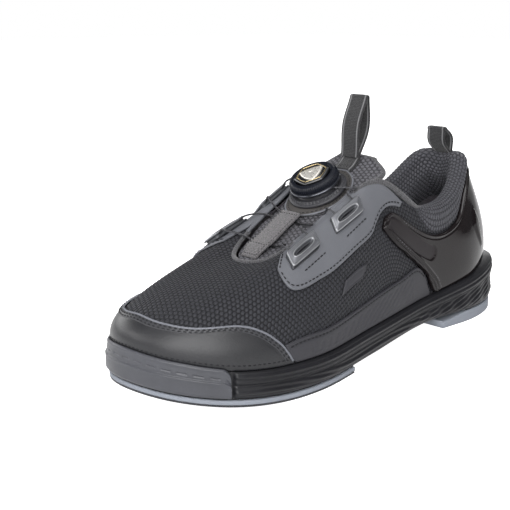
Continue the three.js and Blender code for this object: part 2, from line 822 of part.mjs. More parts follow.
add(
  "dial_pawl_ring",
  turned([
    [axleHead + 0.4, pawlLow],
    [housingInner - 0.4, pawlLow],
    [housingInner - 0.4, pawlHigh],
    [axleHead + 0.4, pawlHigh],
  ], 28),
  "steel",
  dial,
);
// Rubber knob: a cup turned upside down over the housing, with a ribbed grip.
const knobInner = KNOB_RADIUS - KNOB_WALL;
const skirtLow = laceLevel + LACE / 2 + 0.6; // the lace leaves under the knob
const capRadius = KNOB_RADIUS - 4;
const capSeat = knobPlate + 1.3;
const grip = turned([
  [0, knobPlate],
  [knobInner, knobPlate],
  [knobInner, skirtLow],
  [KNOB_RADIUS - 0.6, skirtLow],
  [KNOB_RADIUS, skirtLow + 0.8],
  [KNOB_RADIUS, DIAL_HEIGHT - 2],
  [KNOB_RADIUS - 1.2, DIAL_HEIGHT - 0.4],
  [capRadius + 0.4, DIAL_HEIGHT],
  [capRadius + 0.4, capSeat],
  [0, capSeat],
], KNOB_RIBS * 2);
function ribbed(geometry, radius, depth) {
  const p = geometry.getAttribute("position");
  for (let i = 0; i < p.count; i++) {
    const [x, y] = [p.getX(i), p.getY(i)];
    const r = Math.hypot(x, y);
    const tooth = Math.round((Math.atan2(y, x) / (2 * Math.PI)) * KNOB_RIBS * 2);
    if (r > radius - 0.01 && tooth % 2) p.setXY(i, (x * (r - depth)) / r, (y * (r - depth)) / r);
  }
  return geometry;
}
add("dial_knob", ribbed(grip, KNOB_RADIUS, 0.5), "knob", dial);
// Six-sided bevelled cap set in the top of the knob.
const CAP_SIDES = 6;
const capTop = DIAL_HEIGHT + 0.9;
add(
  "dial_cap",
  turned([
    [0, capSeat + GAP],
    [capRadius, capSeat + GAP],
    [capRadius, DIAL_HEIGHT - 0.2],
    [capRadius - 2, DIAL_HEIGHT + 0.4],
    [capRadius - 5, capTop],
    [0, capTop],
  ], CAP_SIDES),
  "cap",
  dial,
);

// ---------------------------------------------------------------- lace guides
// A guide lies along the throat on an eyestay: t and v of its middle.
const guidePlaces = {
  upper: [4.72, 0.8],
  lower: [5.62, 0.735],
};
const GUIDE_ROOT = 3; // a guide reaches down to the eyestay, whose shape is cut from it
function guideFrame(side, [t, v]) {
  const place = side > 0 ? t : STATIONS - t;
  const normal = lastNormal(place, v);
  const p = over(place, v, OVERLAY_TOP + GAP);
  const down = at(mouthRing, place + 0.25 * side).sub(at(mouthRing, place - 0.25 * side));
  const x = down.addScaledVector(normal, -down.dot(normal)).normalize();
  const y = normal.clone().cross(x);
  return new THREE.Matrix4().makeBasis(x, y, normal).setPosition(p);
}
// Body of a guide: a bevelled bar with an oval dish in its face.
function guideBody() {
  const { length, width, height, bevel } = GUIDE;
  const outline = (l, w, r) => {
    const s = new THREE.Shape();
    s.absarc(l / 2 - r, w / 2 - r, r, 0, Math.PI / 2);
    s.absarc(-l / 2 + r, w / 2 - r, r, Math.PI / 2, Math.PI);
    s.absarc(-l / 2 + r, -w / 2 + r, r, Math.PI, Math.PI * 1.5);
    s.absarc(l / 2 - r, -w / 2 + r, r, Math.PI * 1.5, Math.PI * 2);
    return s;
  };
  const ring = (l, w, r, z) =>
    outline(l, w, r)
      .getPoints(3)
      .slice(0, -1)
      .map((p) => new THREE.Vector3(p.x, p.y, z));
  const levels = [
    ring(length, width, 1.5, -GUIDE_ROOT),
    ring(length, width, 1.5, height - bevel),
    ring(length - 2 * bevel, width - 2 * bevel, 1, height),
  ];
  const triangles = [];
  const n = levels[0].length;
  for (let i = 0; i + 1 < levels.length; i++) {
    for (let k = 0; k < n; k++) {
      const l = (k + 1) % n;
      const [a, b, c, d] = [levels[i][k], levels[i][l], levels[i + 1][l], levels[i + 1][k]];
      triangles.push(a, b, c, a, c, d);
    }
  }
  for (const [level, up] of [
    [levels[0], false],
    [levels[2], true],
  ]) {
    for (let k = 1; k + 1 < n; k++) {
      triangles.push(level[0], ...(up ? [level[k], level[k + 1]] : [level[k + 1], level[k]]));
    }
  }
  const dish = new THREE.CylinderGeometry(2.3, 2.3, 2, 16)
    .rotateX(Math.PI / 2)
    .scale(3, 1, 1)
    .translate(0, 0, height);
  return cut(weld(triangles), dish);
}
const guides = {};
for (const [sideName, side] of [
  ["lateral", 1],
  ["medial", -1],
]) {
  for (const [level, place] of Object.entries(guidePlaces)) {
    guides[`${sideName}_${level}`] = { frame: guideFrame(side, place), side };
  }
}
// The lace enters a guide at its throat side and curves round to leave by the same side.
const LACE_DEPTH = 1.5; // lace above a guide's base
const channelPath = [
  [-0.8, -0.8],
  [-0.66, -0.2],
  [-0.3, 0.22],
  [0.3, 0.22],
  [0.66, -0.2],
  [0.8, -0.8],
];
const guideRun = (name) =>
  channelPath.map(([along_, out]) => {
    const { frame, side } = guides[name];
    const faces = new THREE.Vector3().setFromMatrixColumn(frame, 1).y * side > 0 ? 1 : -1;
    const y = out * GUIDE.width * faces;
    return new THREE.Vector3((along_ * GUIDE.length) / 2, y, LACE_DEPTH).applyMatrix4(frame);
  });

// ---------------------------------------------------------------- lace
const STRAP_LIFT = 3.3; // strap above the tongue, over the crossing lace
const LACE_OVER = 2.5; // the strands cross one above the other
const LACE_UNDER = 1;
const CROSS_AT = 0.35; // along the tongue's centre line
const BOTTOM_AT = 0.14;
const HALF_GAP = 0.35; // between the lateral and medial halves
const onDial = (x, y) => new THREE.Vector3(x, y, laceLevel).applyMatrix4(dial.matrixWorld);
// Where the lace passes over the throat's edge.
const overRim = (side, t) => over(side > 0 ? t : STATIONS - t, 0.97, OVERLAY_TOP + 1.1);
function lacePoints(side) {
  const sideName = side > 0 ? "lateral" : "medial";
  const topLift = side > 0 ? LACE_OVER : LACE_UNDER;
  const bottomLift = side > 0 ? LACE_UNDER : LACE_OVER;
  return {
    top: [
      onDial(1, side * (coilOuter + 1)),
      onDial(0, side * (housingOuter + 2)),
      overRim(side, 4.55),
      ...guideRun(`${sideName}_upper`),
      overRim(side, 5.35),
      onTongue(CROSS_AT + 0.02, side * 8, topLift + 0.4),
      onTongue(CROSS_AT, side * HALF_GAP, topLift),
    ],
    bottom: [
      onTongue(CROSS_AT, side * HALF_GAP, bottomLift),
      onTongue(CROSS_AT - 0.02, side * 8, bottomLift + 0.4),
      overRim(side, 5.65),
      ...guideRun(`${sideName}_lower`),
      overRim(side, 6.35),
      onTongue(BOTTOM_AT + 0.01, side * 7, LACE_UNDER + 0.4),
      onTongue(BOTTOM_AT, side * HALF_GAP, LACE_UNDER),
    ],
  };
}
function tube(points, diameter, stepsAlong, sides = 6) {
  const path = new THREE.CatmullRomCurve3(points, false, "centripetal");
  const circle = new THREE.Shape(
    Array.from({ length: sides }, (_, i) => {
      const a = (i / sides) * 2 * Math.PI;
      return new THREE.Vector2((Math.cos(a) * diameter) / 2, (Math.sin(a) * diameter) / 2);
    }),
  );
  const extruded = new THREE.ExtrudeGeometry(circle, { steps: stepsAlong, extrudePath: path });
  return weld(pointsOf(extruded.getAttribute("position")));
}
const exits = [];
for (const [sideName, side] of [
  ["lateral", 1],
  ["medial", -1],
]) {
  const turn = side > 0 ? (points) => points : mirrored;
  const seat = panel(turn(stayInner), turn(stayOuter), -2 * GUIDE_ROOT, OVERLAY_TOP + GAP, 22, 5);
  const { top, bottom } = lacePoints(side);
  add(`${sideName}_lace_top`, tube(top, LACE, 40), "lace");
  add(`${sideName}_lace_bottom`, tube(bottom, LACE, 40), "lace");
  exits.push(tube([onDial(0.8, side * (coilOuter - 1)), ...top.slice(0, 3)], LACE_BORE, 12));
  for (const [level, run] of [
    ["upper", top],
    ["lower", bottom],
  ]) {
    const name = `${sideName}_${level}`;
    const body = guideBody().applyMatrix4(guides[name].frame);
    add(`${name}_guide`, cut(body, seat, tube(run, LACE_BORE, 40)), "guide");
  }
}
const toDial = dial.matrixWorld.clone().invert();
const seatCut = patch(-2 * SKIRT, 2 * GAP + PATCH).applyMatrix4(toDial);
add(
  "dial_base",
  cut(housing, seatCut, ...exits.map((e) => e.applyMatrix4(toDial))),
  "knob",
  dial,
);

// ---------------------------------------------------------------- strap and pull tabs
const strapHalf = constant(STRAP_WIDTH / 2);
const strapLow = (s) => GAP + STRAP_LIFT * THREE.MathUtils.smoothstep(s, 0.02, 0.1);
add(
  "tongue_strap",
  tonguePiece(
    steps(0.02, DIAL_AT - PATCH_HALF_LENGTH - 0.01, 10),
    strapHalf,
    strapLow,
    (s) => strapLow(s) + WEBBING,
    2,
  ),
  "webbing",
);
// A pull tab is webbing folded into a loop, standing on its base at the local origin.
function loop({ width, height, thickness, opening }) {
  const swell = opening / 2 + WEBBING - thickness / 2;
  const halfAt = (z) => thickness / 2 + swell * Math.sin((Math.PI * z) / height) ** 1.5;
  const levels = steps(0, height - 2, 7);
  const both = (points) => [...points, [0, height], ...points.map(([x, z]) => [-x, z]).reverse()];
  const outer = both(levels.map((z) => [halfAt(z), z]));
  const inner = both(levels.slice(1).map((z) => [Math.max(halfAt(z) - WEBBING, 0.3), z]));
  inner[levels.length - 1][1] = height - 1.6 * WEBBING;
  const shape = new THREE.Shape(outer.map(([x, z]) => new THREE.Vector2(x, z)));
  shape.holes.push(new THREE.Path(inner.map(([x, z]) => new THREE.Vector2(x, z))));
  const flat = new THREE.ExtrudeGeometry(shape, { depth: width, bevelEnabled: false });
  return flat.translate(0, 0, -width / 2).rotateX(Math.PI / 2);
}
const heelTab = add("heel_pull_tab", loop(HEEL_TAB), "webbing");
const backRim = at(mouthRing, 0);
heelTab.position.set(backRim.x + 3.6, 0, backRim.z + 1.4);
heelTab.rotation.y = HEEL_TAB_LEAN;
const tongueTab = add("tongue_pull_tab", loop(TONGUE_TAB), "webbing");
const tabFrame = tongueFrame(0.9);
tongueTab.position.copy(tabFrame.p).addScaledVector(tabFrame.up, 3);
tongueTab.rotation.y = TONGUE_TAB_LEAN;

const box = new THREE.Box3().setFromObject(shoe);
const middle = box.getCenter(new THREE.Vector3());
shoe.position.set(-middle.x, -middle.y, -box.min.z);

export default shoe;
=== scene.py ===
# Left bowling shoe: visible pieces, materials, camera and light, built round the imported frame.
import math

import bpy
import numpy as np
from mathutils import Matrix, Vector


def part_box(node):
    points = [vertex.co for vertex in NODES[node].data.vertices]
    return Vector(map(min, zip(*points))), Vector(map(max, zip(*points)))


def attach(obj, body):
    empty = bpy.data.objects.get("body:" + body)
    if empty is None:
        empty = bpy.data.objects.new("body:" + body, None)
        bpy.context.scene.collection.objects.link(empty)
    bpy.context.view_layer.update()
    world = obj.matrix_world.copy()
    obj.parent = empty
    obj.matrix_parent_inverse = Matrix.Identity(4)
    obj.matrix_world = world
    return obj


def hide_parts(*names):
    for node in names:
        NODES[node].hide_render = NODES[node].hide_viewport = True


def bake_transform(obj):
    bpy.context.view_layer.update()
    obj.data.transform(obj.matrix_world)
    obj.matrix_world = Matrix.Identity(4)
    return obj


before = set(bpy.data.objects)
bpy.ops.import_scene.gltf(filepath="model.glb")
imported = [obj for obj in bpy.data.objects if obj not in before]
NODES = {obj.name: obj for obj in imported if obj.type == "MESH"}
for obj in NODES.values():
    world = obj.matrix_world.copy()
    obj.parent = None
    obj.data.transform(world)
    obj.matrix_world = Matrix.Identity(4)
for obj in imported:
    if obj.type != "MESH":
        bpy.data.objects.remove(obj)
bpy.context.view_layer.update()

# ------------------------------------------------------------------ sizes, in millimetres
GAP = 0.3
LIFT = 0.5
OVERLAY = 1.2
COUNTER_LIFT = 0.6
COUNTER = 2.2
MESH = 1.3
TOE_SPRING = 8.6
HEEL_END, FOREFOOT_START, GUARD_END = 2.62, 4.35, 6.15
HEEL_STACK, FOREFOOT_STACK = 8.6, 5.1
GUARD_PROUD = 0.8
DIAL_AT = 0.575
CELL = 2.7

# ------------------------------------------------------------------ the last
STATIONS = 16
SOLE_X = [0, 10, 45, 100, 160, 215, 262, 292, 302]
SOLE_LATERAL = [0, 26, 38, 37, 46, 55, 47, 25, -6]
SOLE_MEDIAL = [0, -26, -37, -33, -41, -51, -52, -33, -6]
FEATHER_INSET = [11, 9.5, 6.5, 5, 4.5, 4.5, 4.5, 4.5, 4.5]
FEATHER_Z = [37, 36, 30, 23, 20, 19, 21, 27, 30]
MOUTH_X = [33, 41, 65, 97, 136, 164, 194, 215, 222]
MOUTH_Y = [0, 18, 28, 31, 26, 21.5, 20, 13, 0]
MOUTH_Z = [106, 105, 85, 81, 103, 92, 76, 66, 64]
BULGE = [3, 3, 4, 3, 1, 2, 5, 7, 8]
RISE = [28, 28, 24, 24, 24, 20, 20, 18, 17]
SPREAD = [10, 8, 6, 6, 14, 19, 25, 33, 38]
FALL = [20, 22, 22, 20, 14, 8, 4, 3, 4]


def station(k):
    return k if k <= 8 else STATIONS - k


def around(lateral, medial_sign=1):
    return np.array([lateral[station(k)] * (1 if k <= 8 else medial_sign) for k in range(STATIONS)], float)


SOLE = np.stack([around(SOLE_X), np.array(SOLE_LATERAL + SOLE_MEDIAL[7:0:-1], float)], 1)
_d = np.roll(SOLE, -1, 0) - np.roll(SOLE, 1, 0)
OUTWARD = np.stack([-_d[:, 1], _d[:, 0]], 1)
OUTWARD /= np.linalg.norm(OUTWARD, axis=1)[:, None]
F = np.column_stack([SOLE - OUTWARD * around(FEATHER_INSET)[:, None], around(FEATHER_Z)])
S = np.column_stack([around(MOUTH_X), around(MOUTH_Y, -1), around(MOUTH_Z)])
C1 = F + np.column_stack([OUTWARD * around(BULGE)[:, None], around(RISE)])
_h = F[:, :2] - S[:, :2]
_h /= np.linalg.norm(_h, axis=1)[:, None]
C2 = S + np.column_stack([_h * around(SPREAD)[:, None], -around(FALL)])
SOLE3 = np.column_stack([SOLE, np.zeros(STATIONS)])


def ring(points, t):
    """Closed uniform Catmull-Rom through the stations."""
    t = np.asarray(t, float) % STATIONS
    i = np.floor(t).astype(int)
    w = (t - i)[..., None]
    p0, p1, p2, p3 = (points[(i + k) % STATIONS] for k in (-1, 0, 1, 2))
    v0, v1 = (p2 - p0) * 0.5, (p3 - p1) * 0.5
    return (2 * p1 - 2 * p2 + v0 + v1) * w**3 + (-3 * p1 + 3 * p2 - 2 * v0 - v1) * w**2 + v0 * w + p1


def last(t, v):
    t, v = np.broadcast_arrays(np.asarray(t, float), np.asarray(v, float))
    v = v[..., None]
    w = 1 - v
    return w**3 * ring(F, t) + 3 * w * w * v * ring(C1, t) + 3 * w * v * v * ring(C2, t) + v**3 * ring(S, t)


def unit(a):
    return a / np.maximum(np.linalg.norm(a, axis=-1, keepdims=True), 1e-9)


def last_normal(t, v):
    e = 0.004
    t, v = np.broadcast_arrays(np.asarray(t, float), np.asarray(v, float))
    along = last(t + e, v) - last(t - e, v)
    up = last(t, np.minimum(v + e, 1)) - last(t, np.maximum(v - e, 0))
    return unit(np.cross(up, along))


def over(t, v, height):
    t, v, h = np.broadcast_arrays(np.asarray(t, float), np.asarray(v, float), np.asarray(height, float))
    return last(t, v) + last_normal(t, v) * h[..., None]


def edge(t, inset, z):
    t, inset, z = np.broadcast_arrays(np.asarray(t, float), np.asarray(inset, float), np.asarray(z, float))
    p = ring(SOLE3, t)
    d = ring(SOLE3, t + 0.01) - ring(SOLE3, t - 0.01)
    n = unit(np.stack([-d[..., 1], d[..., 0], np.zeros_like(t)], -1))
    p = p - n * inset[..., None]
    p[..., 2] = z
    return p


def smooth(x, a, b):
    s = np.clip((np.asarray(x, float) - a) / (b - a), 0, 1)
    return s * s * (3 - 2 * s)


def toe_lift(x):
    return np.where(x > 225, TOE_SPRING * ((x - 225) / 77.0) ** 2, 0.0)


def underside(x):
    a, b = ring(SOLE3, HEEL_END)[0], ring(SOLE3, FOREFOOT_START)[0]
    return HEEL_STACK + (FOREFOOT_STACK - HEEL_STACK) * smooth(x, a, b) + toe_lift(x)


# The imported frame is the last's own frame, moved: heel pad and slide pad say by how much.
_pad = np.concatenate([edge(s * np.linspace(FOREFOOT_START, 8, 19), 1.2, 0) for s in (1, -1)])
SHIFT = np.array(
    [
        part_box("heel_pad")[0].x * 1000 - 1.2,
        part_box("forefoot_slide_pad")[1].y * 1000 - _pad[:, 1].max(),
        0,
    ]
)


def row(p):
    """Millimetres on the last to metres in the row frame."""
    return (np.asarray(p, float) + SHIFT) / 1000


def distances(line):
    """How far each point of a polyline lies along it."""
    return np.concatenate([[0], np.cumsum(np.linalg.norm(np.diff(line, axis=0), axis=1))])


def mean_distances(grid):
    """How far each point of a grid's sections lies along them, averaged over the sections."""
    return np.concatenate([[0], np.cumsum(np.linalg.norm(np.diff(grid, axis=1), axis=2).mean(0))])


def even(line, n, closed=False):
    """n points evenly spaced along a polyline."""
    s = distances(line)
    want = np.linspace(0, s[-1], n, endpoint=not closed)
    return np.stack([np.interp(want, s, line[:, k]) for k in range(line.shape[1])], 1)


def spline(points, n):
    """n points at even parameter steps, as the frame's own panels are cut."""
    p = np.asarray(points, float)
    q = np.concatenate([p[:1], p, p[-1:]])
    w = np.linspace(0, len(p) - 1, n)
    i = np.minimum(np.floor(w).astype(int), len(p) - 2)
    w = (w - i)[:, None]
    a, b, c, d = q[i], q[i + 1], q[i + 2], q[i + 3]
    v0, v1 = (c - a) * 0.5, (d - b) * 0.5
    return (2 * b - 2 * c + v0 + v1) * w**3 + (-3 * b + 3 * c - 2 * v0 - v1) * w**2 + v0 * w + b


# ------------------------------------------------------------------ mesh building
def make(name, verts, faces, material, body, uv=None, smooth_shading=True, replaces=()):
    """verts in millimetres on the last; uv one pair per vertex, in millimetres."""
    me = bpy.data.meshes.new(name)
    me.from_pydata(row(verts).tolist(), [], [list(map(int, f)) for f in faces])
    me.update()
    if uv is not None:
        layer = me.uv_layers.new(name="Weave")
        idx = np.empty(len(me.loops), dtype=np.int64)
        me.loops.foreach_get("vertex_index", idx)
        layer.uv.foreach_set("vector", np.asarray(uv, np.float32)[idx].ravel())
    me.polygons.foreach_set("use_smooth", [smooth_shading] * len(me.polygons))
    ob = bpy.data.objects.new(name, me)
    bpy.context.collection.objects.link(ob)
    me.materials.append(material)
    if body:
        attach(ob, body)
    if replaces:
        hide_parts(*replaces)
    return ob


def fix_normals(ob):
    import bmesh

    bm = bmesh.new()
    bm.from_mesh(ob.data)
    bmesh.ops.recalc_face_normals(bm, faces=bm.faces)
    bm.to_mesh(ob.data)
    bm.free()
    return ob


def quads(nu, nv, wrap_u=False, wrap_v=False, start=0):
    i = np.arange(nu if wrap_u else nu - 1)
    j = np.arange(nv if wrap_v else nv - 1)
    a, b = np.meshgrid(i, j, indexing="ij")
    a2, b2 = (a + 1) % nu, (b + 1) % nv
    q = np.stack([a * nv + b, a2 * nv + b, a2 * nv + b2, a * nv + b2], -1).reshape(-1, 4)
    return q + start


def slab_faces(nu, nv, wrap_u=False):
    """Top grid, bottom grid after it, and the walls between them."""
    n = nu * nv
    top = quads(nu, nv, wrap_u)
    low = quads(nu, nv, wrap_u)[:, ::-1] + n
    walls = []
    i = np.arange(nu if wrap_u else nu - 1)
    i2 = (i + 1) % nu
    for j in (0, nv - 1):
        w = np.stack([i * nv + j, i2 * nv + j, i2 * nv + j + n, i * nv + j + n], -1)
        walls.append(w[:, ::-1] if j == 0 else w)
    if not wrap_u:
        j = np.arange(nv - 1)
        for a in (0, nu - 1):
            w = np.stack([a * nv + j, a * nv + j + 1, a * nv + j + 1 + n, a * nv + j + n], -1)
            walls.append(w if a == 0 else w[:, ::-1])
    return np.concatenate([top, low] + walls)


def arc_uv(grid):
    """Distances along the two ways of a grid of points, as a uv pair in millimetres."""
    du = np.linalg.norm(np.diff(grid, axis=0), axis=2).mean(1)
    dv = np.linalg.norm(np.diff(grid, axis=1), axis=2).mean(0)
    u = np.concatenate([[0], np.cumsum(du)])
    v = np.concatenate([[0], np.cumsum(dv)])
    U, V = np.meshgrid(u, v, indexing="ij")
    return np.stack([U, V], -1)


def border_steps(length, fine, step):
    """Fractions of a length: close together near both ends, a step apart between."""
    ends = np.array([0, 0.12, 0.3, 0.55, 0.85, 1.2]) * fine
    inner = np.linspace(ends[-1], length - ends[-1], max(int((length - 2 * ends[-1]) / step), 2))
    return np.concatenate([ends[:-1], inner, length - ends[:-1][::-1]]) / length


def roundover(dist, radius):
    x = np.clip(dist / radius, 0, 1)
    return np.sqrt(np.clip(1 - (1 - x) ** 2, 0, 1))


class Panel:
    """A patch of the upper between two edges, dense, with rounded borders."""

    def __init__(self, edge_a, edge_b, count, step_u=1.3, step_v=1.1, radius=0.9):
        a0, b0 = spline(edge_a, count), spline(edge_b, count)
        mid = last((a0[:, 0] + b0[:, 0]) / 2, (a0[:, 1] + b0[:, 1]) / 2)
        s = distances(mid)
        self.length = s[-1]
        across = np.linalg.norm(last(a0[:, 0], a0[:, 1]) - last(b0[:, 0], b0[:, 1]), axis=1)
        self.width = across.max()
        fu = border_steps(self.length, 1.0, step_u)
        fv = border_steps(self.width, 1.0, step_v)
        par = np.interp(fu * s[-1], s, np.linspace(0, 1, count))
        k = np.linspace(0, 1, count)
        A = np.stack([np.interp(par, k, a0[:, c]) for c in (0, 1)], 1)
        B = np.stack([np.interp(par, k, b0[:, c]) for c in (0, 1)], 1)
        self.tv = A[:, None] * (1 - fv)[None, :, None] + B[:, None] * fv[None, :, None]
        self.t, self.v = self.tv[..., 0], self.tv[..., 1]
        base = last(self.t, self.v)
        self.uv = arc_uv(base)
        width = np.linalg.norm(np.diff(base, axis=1), axis=2)
        c = np.concatenate([np.zeros((len(fu), 1)), np.cumsum(width, 1)], 1)
        self.from_a, self.from_b = c, c[:, -1:] - c
        length = np.linalg.norm(np.diff(base, axis=0), axis=2)
        c = np.concatenate([np.zeros((1, len(fv))), np.cumsum(length, 0)], 0)
        self.from_start, self.from_end = c, c[-1:] - c
        self.border = np.minimum.reduce([self.from_a, self.from_b, self.from_start, self.from_end])
        self.radius = radius

    def build(self, name, low, high, material, body, replaces=(), extra=0.0):
        """low and high above the last; extra is added to the top, faded out at the border."""
        r = roundover(self.border + 0.04, self.radius)
        top = low + (high - low) * (0.25 + 0.75 * r) + extra * np.clip(self.border / 0.8, 0, 1)
        grid = over(self.t, self.v, top)
        under = over(self.t, self.v, low)
        nu, nv = self.t.shape
        verts = np.concatenate([grid.reshape(-1, 3), under.reshape(-1, 3)])
        uv = np.concatenate([self.uv.reshape(-1, 2)] * 2)
        ob = make(name, verts, slab_faces(nu, nv), material, body, uv, replaces=replaces)
        return fix_normals(ob)


# ------------------------------------------------------------------ materials
class Nodes:
    """A material's node tree with the few builders used below."""

    def __init__(self, name, color, rough, metal=0.0, specular=0.5):
        self.m = bpy.data.materials.new(name)
        self.m.use_nodes = True
        self.t = self.m.node_tree
        self.bsdf = self.t.nodes["Principled BSDF"]
        self.set("Roughness", rough)
        self.set("Metallic", metal)
        self.set("Specular IOR Level", specular)
        self.set("Base Color", (*color, 1))
        self.object = self.new("ShaderNodeTexCoord").outputs["Object"]
        self._weave = None
        self.bumps = []

    def new(self, kind, **settings):
        n = self.t.nodes.new(kind)
        for k, v in settings.items():
            setattr(n, k, v)
        return n

    def set(self, socket, value):
        self.bsdf.inputs[socket].default_value = value

    def link(self, a, b):
        self.t.links.new(a, b)

    def weave(self):
        if self._weave is None:
            self._weave = self.new("ShaderNodeUVMap", uv_map="Weave").outputs["UV"]
        return self._weave

    def math(self, op, a, b=None, c=None, clamp=False):
        n = self.new("ShaderNodeMath", operation=op, use_clamp=clamp)
        for i, v in enumerate((a, b, c)):
            if v is None:
                continue
            if isinstance(v, (int, float)):
                n.inputs[i].default_value = v
            else:
                self.link(v, n.inputs[i])
        return n.outputs[0]

    def vector(self, op, a, *rest):
        n = self.new("ShaderNodeVectorMath", operation=op)
        for i, v in enumerate((a, *rest)):
            if isinstance(v, tuple):
                n.inputs[i].default_value = v
            elif isinstance(v, (int, float)):
                n.inputs["Scale"].default_value = v
            else:
                self.link(v, n.inputs[i])
        return n.outputs["Value" if op in ("DOT_PRODUCT", "LENGTH") else "Vector"]

    def noise(self, scale, detail=3.0, rough=0.55, where=None):
        n = self.new("ShaderNodeTexNoise")
        n.inputs["Scale"].default_value = scale
        n.inputs["Detail"].default_value = detail
        n.inputs["Roughness"].default_value = rough
        self.link(where or self.object, n.inputs["Vector"])
        return n.outputs["Fac"]

    def voronoi(self, scale, feature="F1", where=None, random=1.0):
        n = self.new("ShaderNodeTexVoronoi", feature=feature)
        n.inputs["Scale"].default_value = scale
        n.inputs["Randomness"].default_value = random
        self.link(where or self.object, n.inputs["Vector"])
        return n.outputs["Distance"]

    def remap(self, value, a, b, c, d):
        n = self.new("ShaderNodeMapRange")
        self.link(value, n.inputs["Value"])
        for k, v in zip(("From Min", "From Max", "To Min", "To Max"), (a, b, c, d)):
            n.inputs[k].default_value = v
        return n.outputs["Result"]

    def mix(self, fac, a, b, blend="MIX"):
        n = self.new("ShaderNodeMix", data_type="RGBA", blend_type=blend)
        if isinstance(fac, (int, float)):
            n.inputs["Factor"].default_value = fac
        else:
            self.link(fac, n.inputs["Factor"])
        for name, v in (("A", a), ("B", b)):
            s = [i for i in n.inputs if i.name == name and i.type == "RGBA"][0]
            if isinstance(v, tuple):
                s.default_value = (*v, 1)
            else:
                self.link(v, s)
        return [o for o in n.outputs if o.type == "RGBA"][0]

    def bump(self, height, distance, strength=1.0):
        """distance in metres."""
        n = self.new("ShaderNodeBump")
        n.inputs["Distance"].default_value = distance
        n.inputs["Strength"].default_value = strength
        self.link(height, n.inputs["Height"])
        if self.bumps:
            self.link(self.bumps[-1], n.inputs["Normal"])
        self.bumps.append(n.outputs["Normal"])

    def done(self, color=None, rough=None):
        if color is not None:
            self.link(color, self.bsdf.inputs["Base Color"])
        if rough is not None:
            self.link(rough, self.bsdf.inputs["Roughness"])
        if self.bumps:
            self.link(self.bumps[-1], self.bsdf.inputs["Normal"])
        return self.m

    def hexagons(self, cell, where=None):
        """Distance from the middle of hexagonal cells: 0 in the middle, 0.5 at their edges."""
        p = self.vector("SCALE", where or self.weave(), 1 / cell)
        h = []
        for shift in ((0, 0, 0), (0.5, 0.8660254, 0)):
            q = self.vector("ADD", p, shift)
            q = self.vector("WRAP", q, (0.5, 0.8660254, 1), (-0.5, -0.8660254, -1))
            q = self.vector("ABSOLUTE", q)
            x = self.vector("DOT_PRODUCT", q, (1, 0, 0))
            d = self.vector("DOT_PRODUCT", q, (0.5, 0.8660254, 0))
            h.append(self.math("MAXIMUM", x, d))
        return self.math("MINIMUM", *h)

    def wave(self, direction, pitch, where=None):
        """Sine of the distance along a direction in the weave's millimetres, 0 to 1."""
        d = self.vector("DOT_PRODUCT", where or self.weave(), tuple(direction) + (0,))
        s = self.math("SINE", self.math("MULTIPLY", d, 2 * math.pi / pitch))
        return self.math("MULTIPLY_ADD", s, 0.5, 0.5)


def lighter(c, k):
    return tuple(min(x * k, 1) for x in c)


def knit(name, color, cell, depth=0.00035, contrast=2.0, yarn=0.42):
    n = Nodes(name, color, 0.75, specular=0.26)
    d = n.hexagons(cell)
    dome = n.remap(d, 0.47, 0.24, 0.0, 1.0)
    a = n.wave((1, 0), yarn)
    b = n.wave((0.5, 0.866), yarn)
    c = n.wave((0.5, -0.866), yarn)
    twist = n.math("MAXIMUM", n.math("MULTIPLY", a, b), c)
    fuzz = n.noise(2400, 2)
    patch = n.noise(35, 3)
    # painted shade in the grooves between the cells and a painted highlight on their domes: the colour runs from
    # a fifth of the base at the cell edges up to contrast * 0.8 at the middles
    col = n.mix(dome, lighter(color, 0.2), lighter(color, contrast * 0.8))
    col = n.mix(n.math("MULTIPLY", twist, 0.22), col, lighter(color, contrast * 1.1), "MIX")
    col = n.mix(n.remap(fuzz, 0.3, 0.7, 0.0, 0.35), col, lighter(color, 0.6))
    col = n.mix(n.remap(patch, 0.35, 0.7, 0.0, 0.25), col, lighter(color, 1.3))
    n.bump(dome, depth, 0.8)
    n.bump(twist, 0.00005, 0.5)
    n.bump(fuzz, 0.00004, 0.5)
    n.set("Sheen Weight", 0.03)
    n.set("Sheen Roughness", 0.45)
    return n.done(col, n.remap(dome, 0, 1, 0.85, 0.5))


def leather(name, color, rough, grain=1500, depth=0.00006, vary=0.25, specular=0.3):
    n = Nodes(name, color, rough, specular=specular)
    cells = n.voronoi(grain, "F1")
    fine = n.noise(grain * 2.2, 3)
    cloud = n.noise(26, 4)
    col = n.mix(n.remap(cloud, 0.3, 0.72, 0, 1), lighter(color, 1 - vary), lighter(color, 1 + vary))
    col = n.mix(n.remap(cells, 0.05, 0.5, 0.0, 0.35), col, lighter(color, 0.72))
    n.bump(n.math("SUBTRACT", 1.0, cells), depth, 0.55)
    n.bump(fine, depth * 0.5, 0.4)
    uneven = n.remap(cloud, 0.3, 0.7, rough - 0.06, rough + 0.07)
    return n.done(col, n.math("ADD", uneven, n.remap(fine, 0.3, 0.7, -0.04, 0.04)))


def rubber(name, color, rough, grain=3200, depth=0.00003, vary=0.18, specular=0.3):
    n = Nodes(name, color, rough, specular=specular)
    fine = n.noise(grain, 3)
    cloud = n.noise(30, 4)
    scuff = n.noise(160, 6, 0.7)
    col = n.mix(n.remap(cloud, 0.3, 0.7, 0, 1), lighter(color, 1 - vary), lighter(color, 1 + vary))
    col = n.mix(n.remap(scuff, 0.56, 0.75, 0, 0.35), col, lighter(color, 1.5))
    n.bump(fine, depth, 0.6)
    return n.done(col, n.remap(scuff, 0.3, 0.8, rough - 0.08, rough + 0.12))


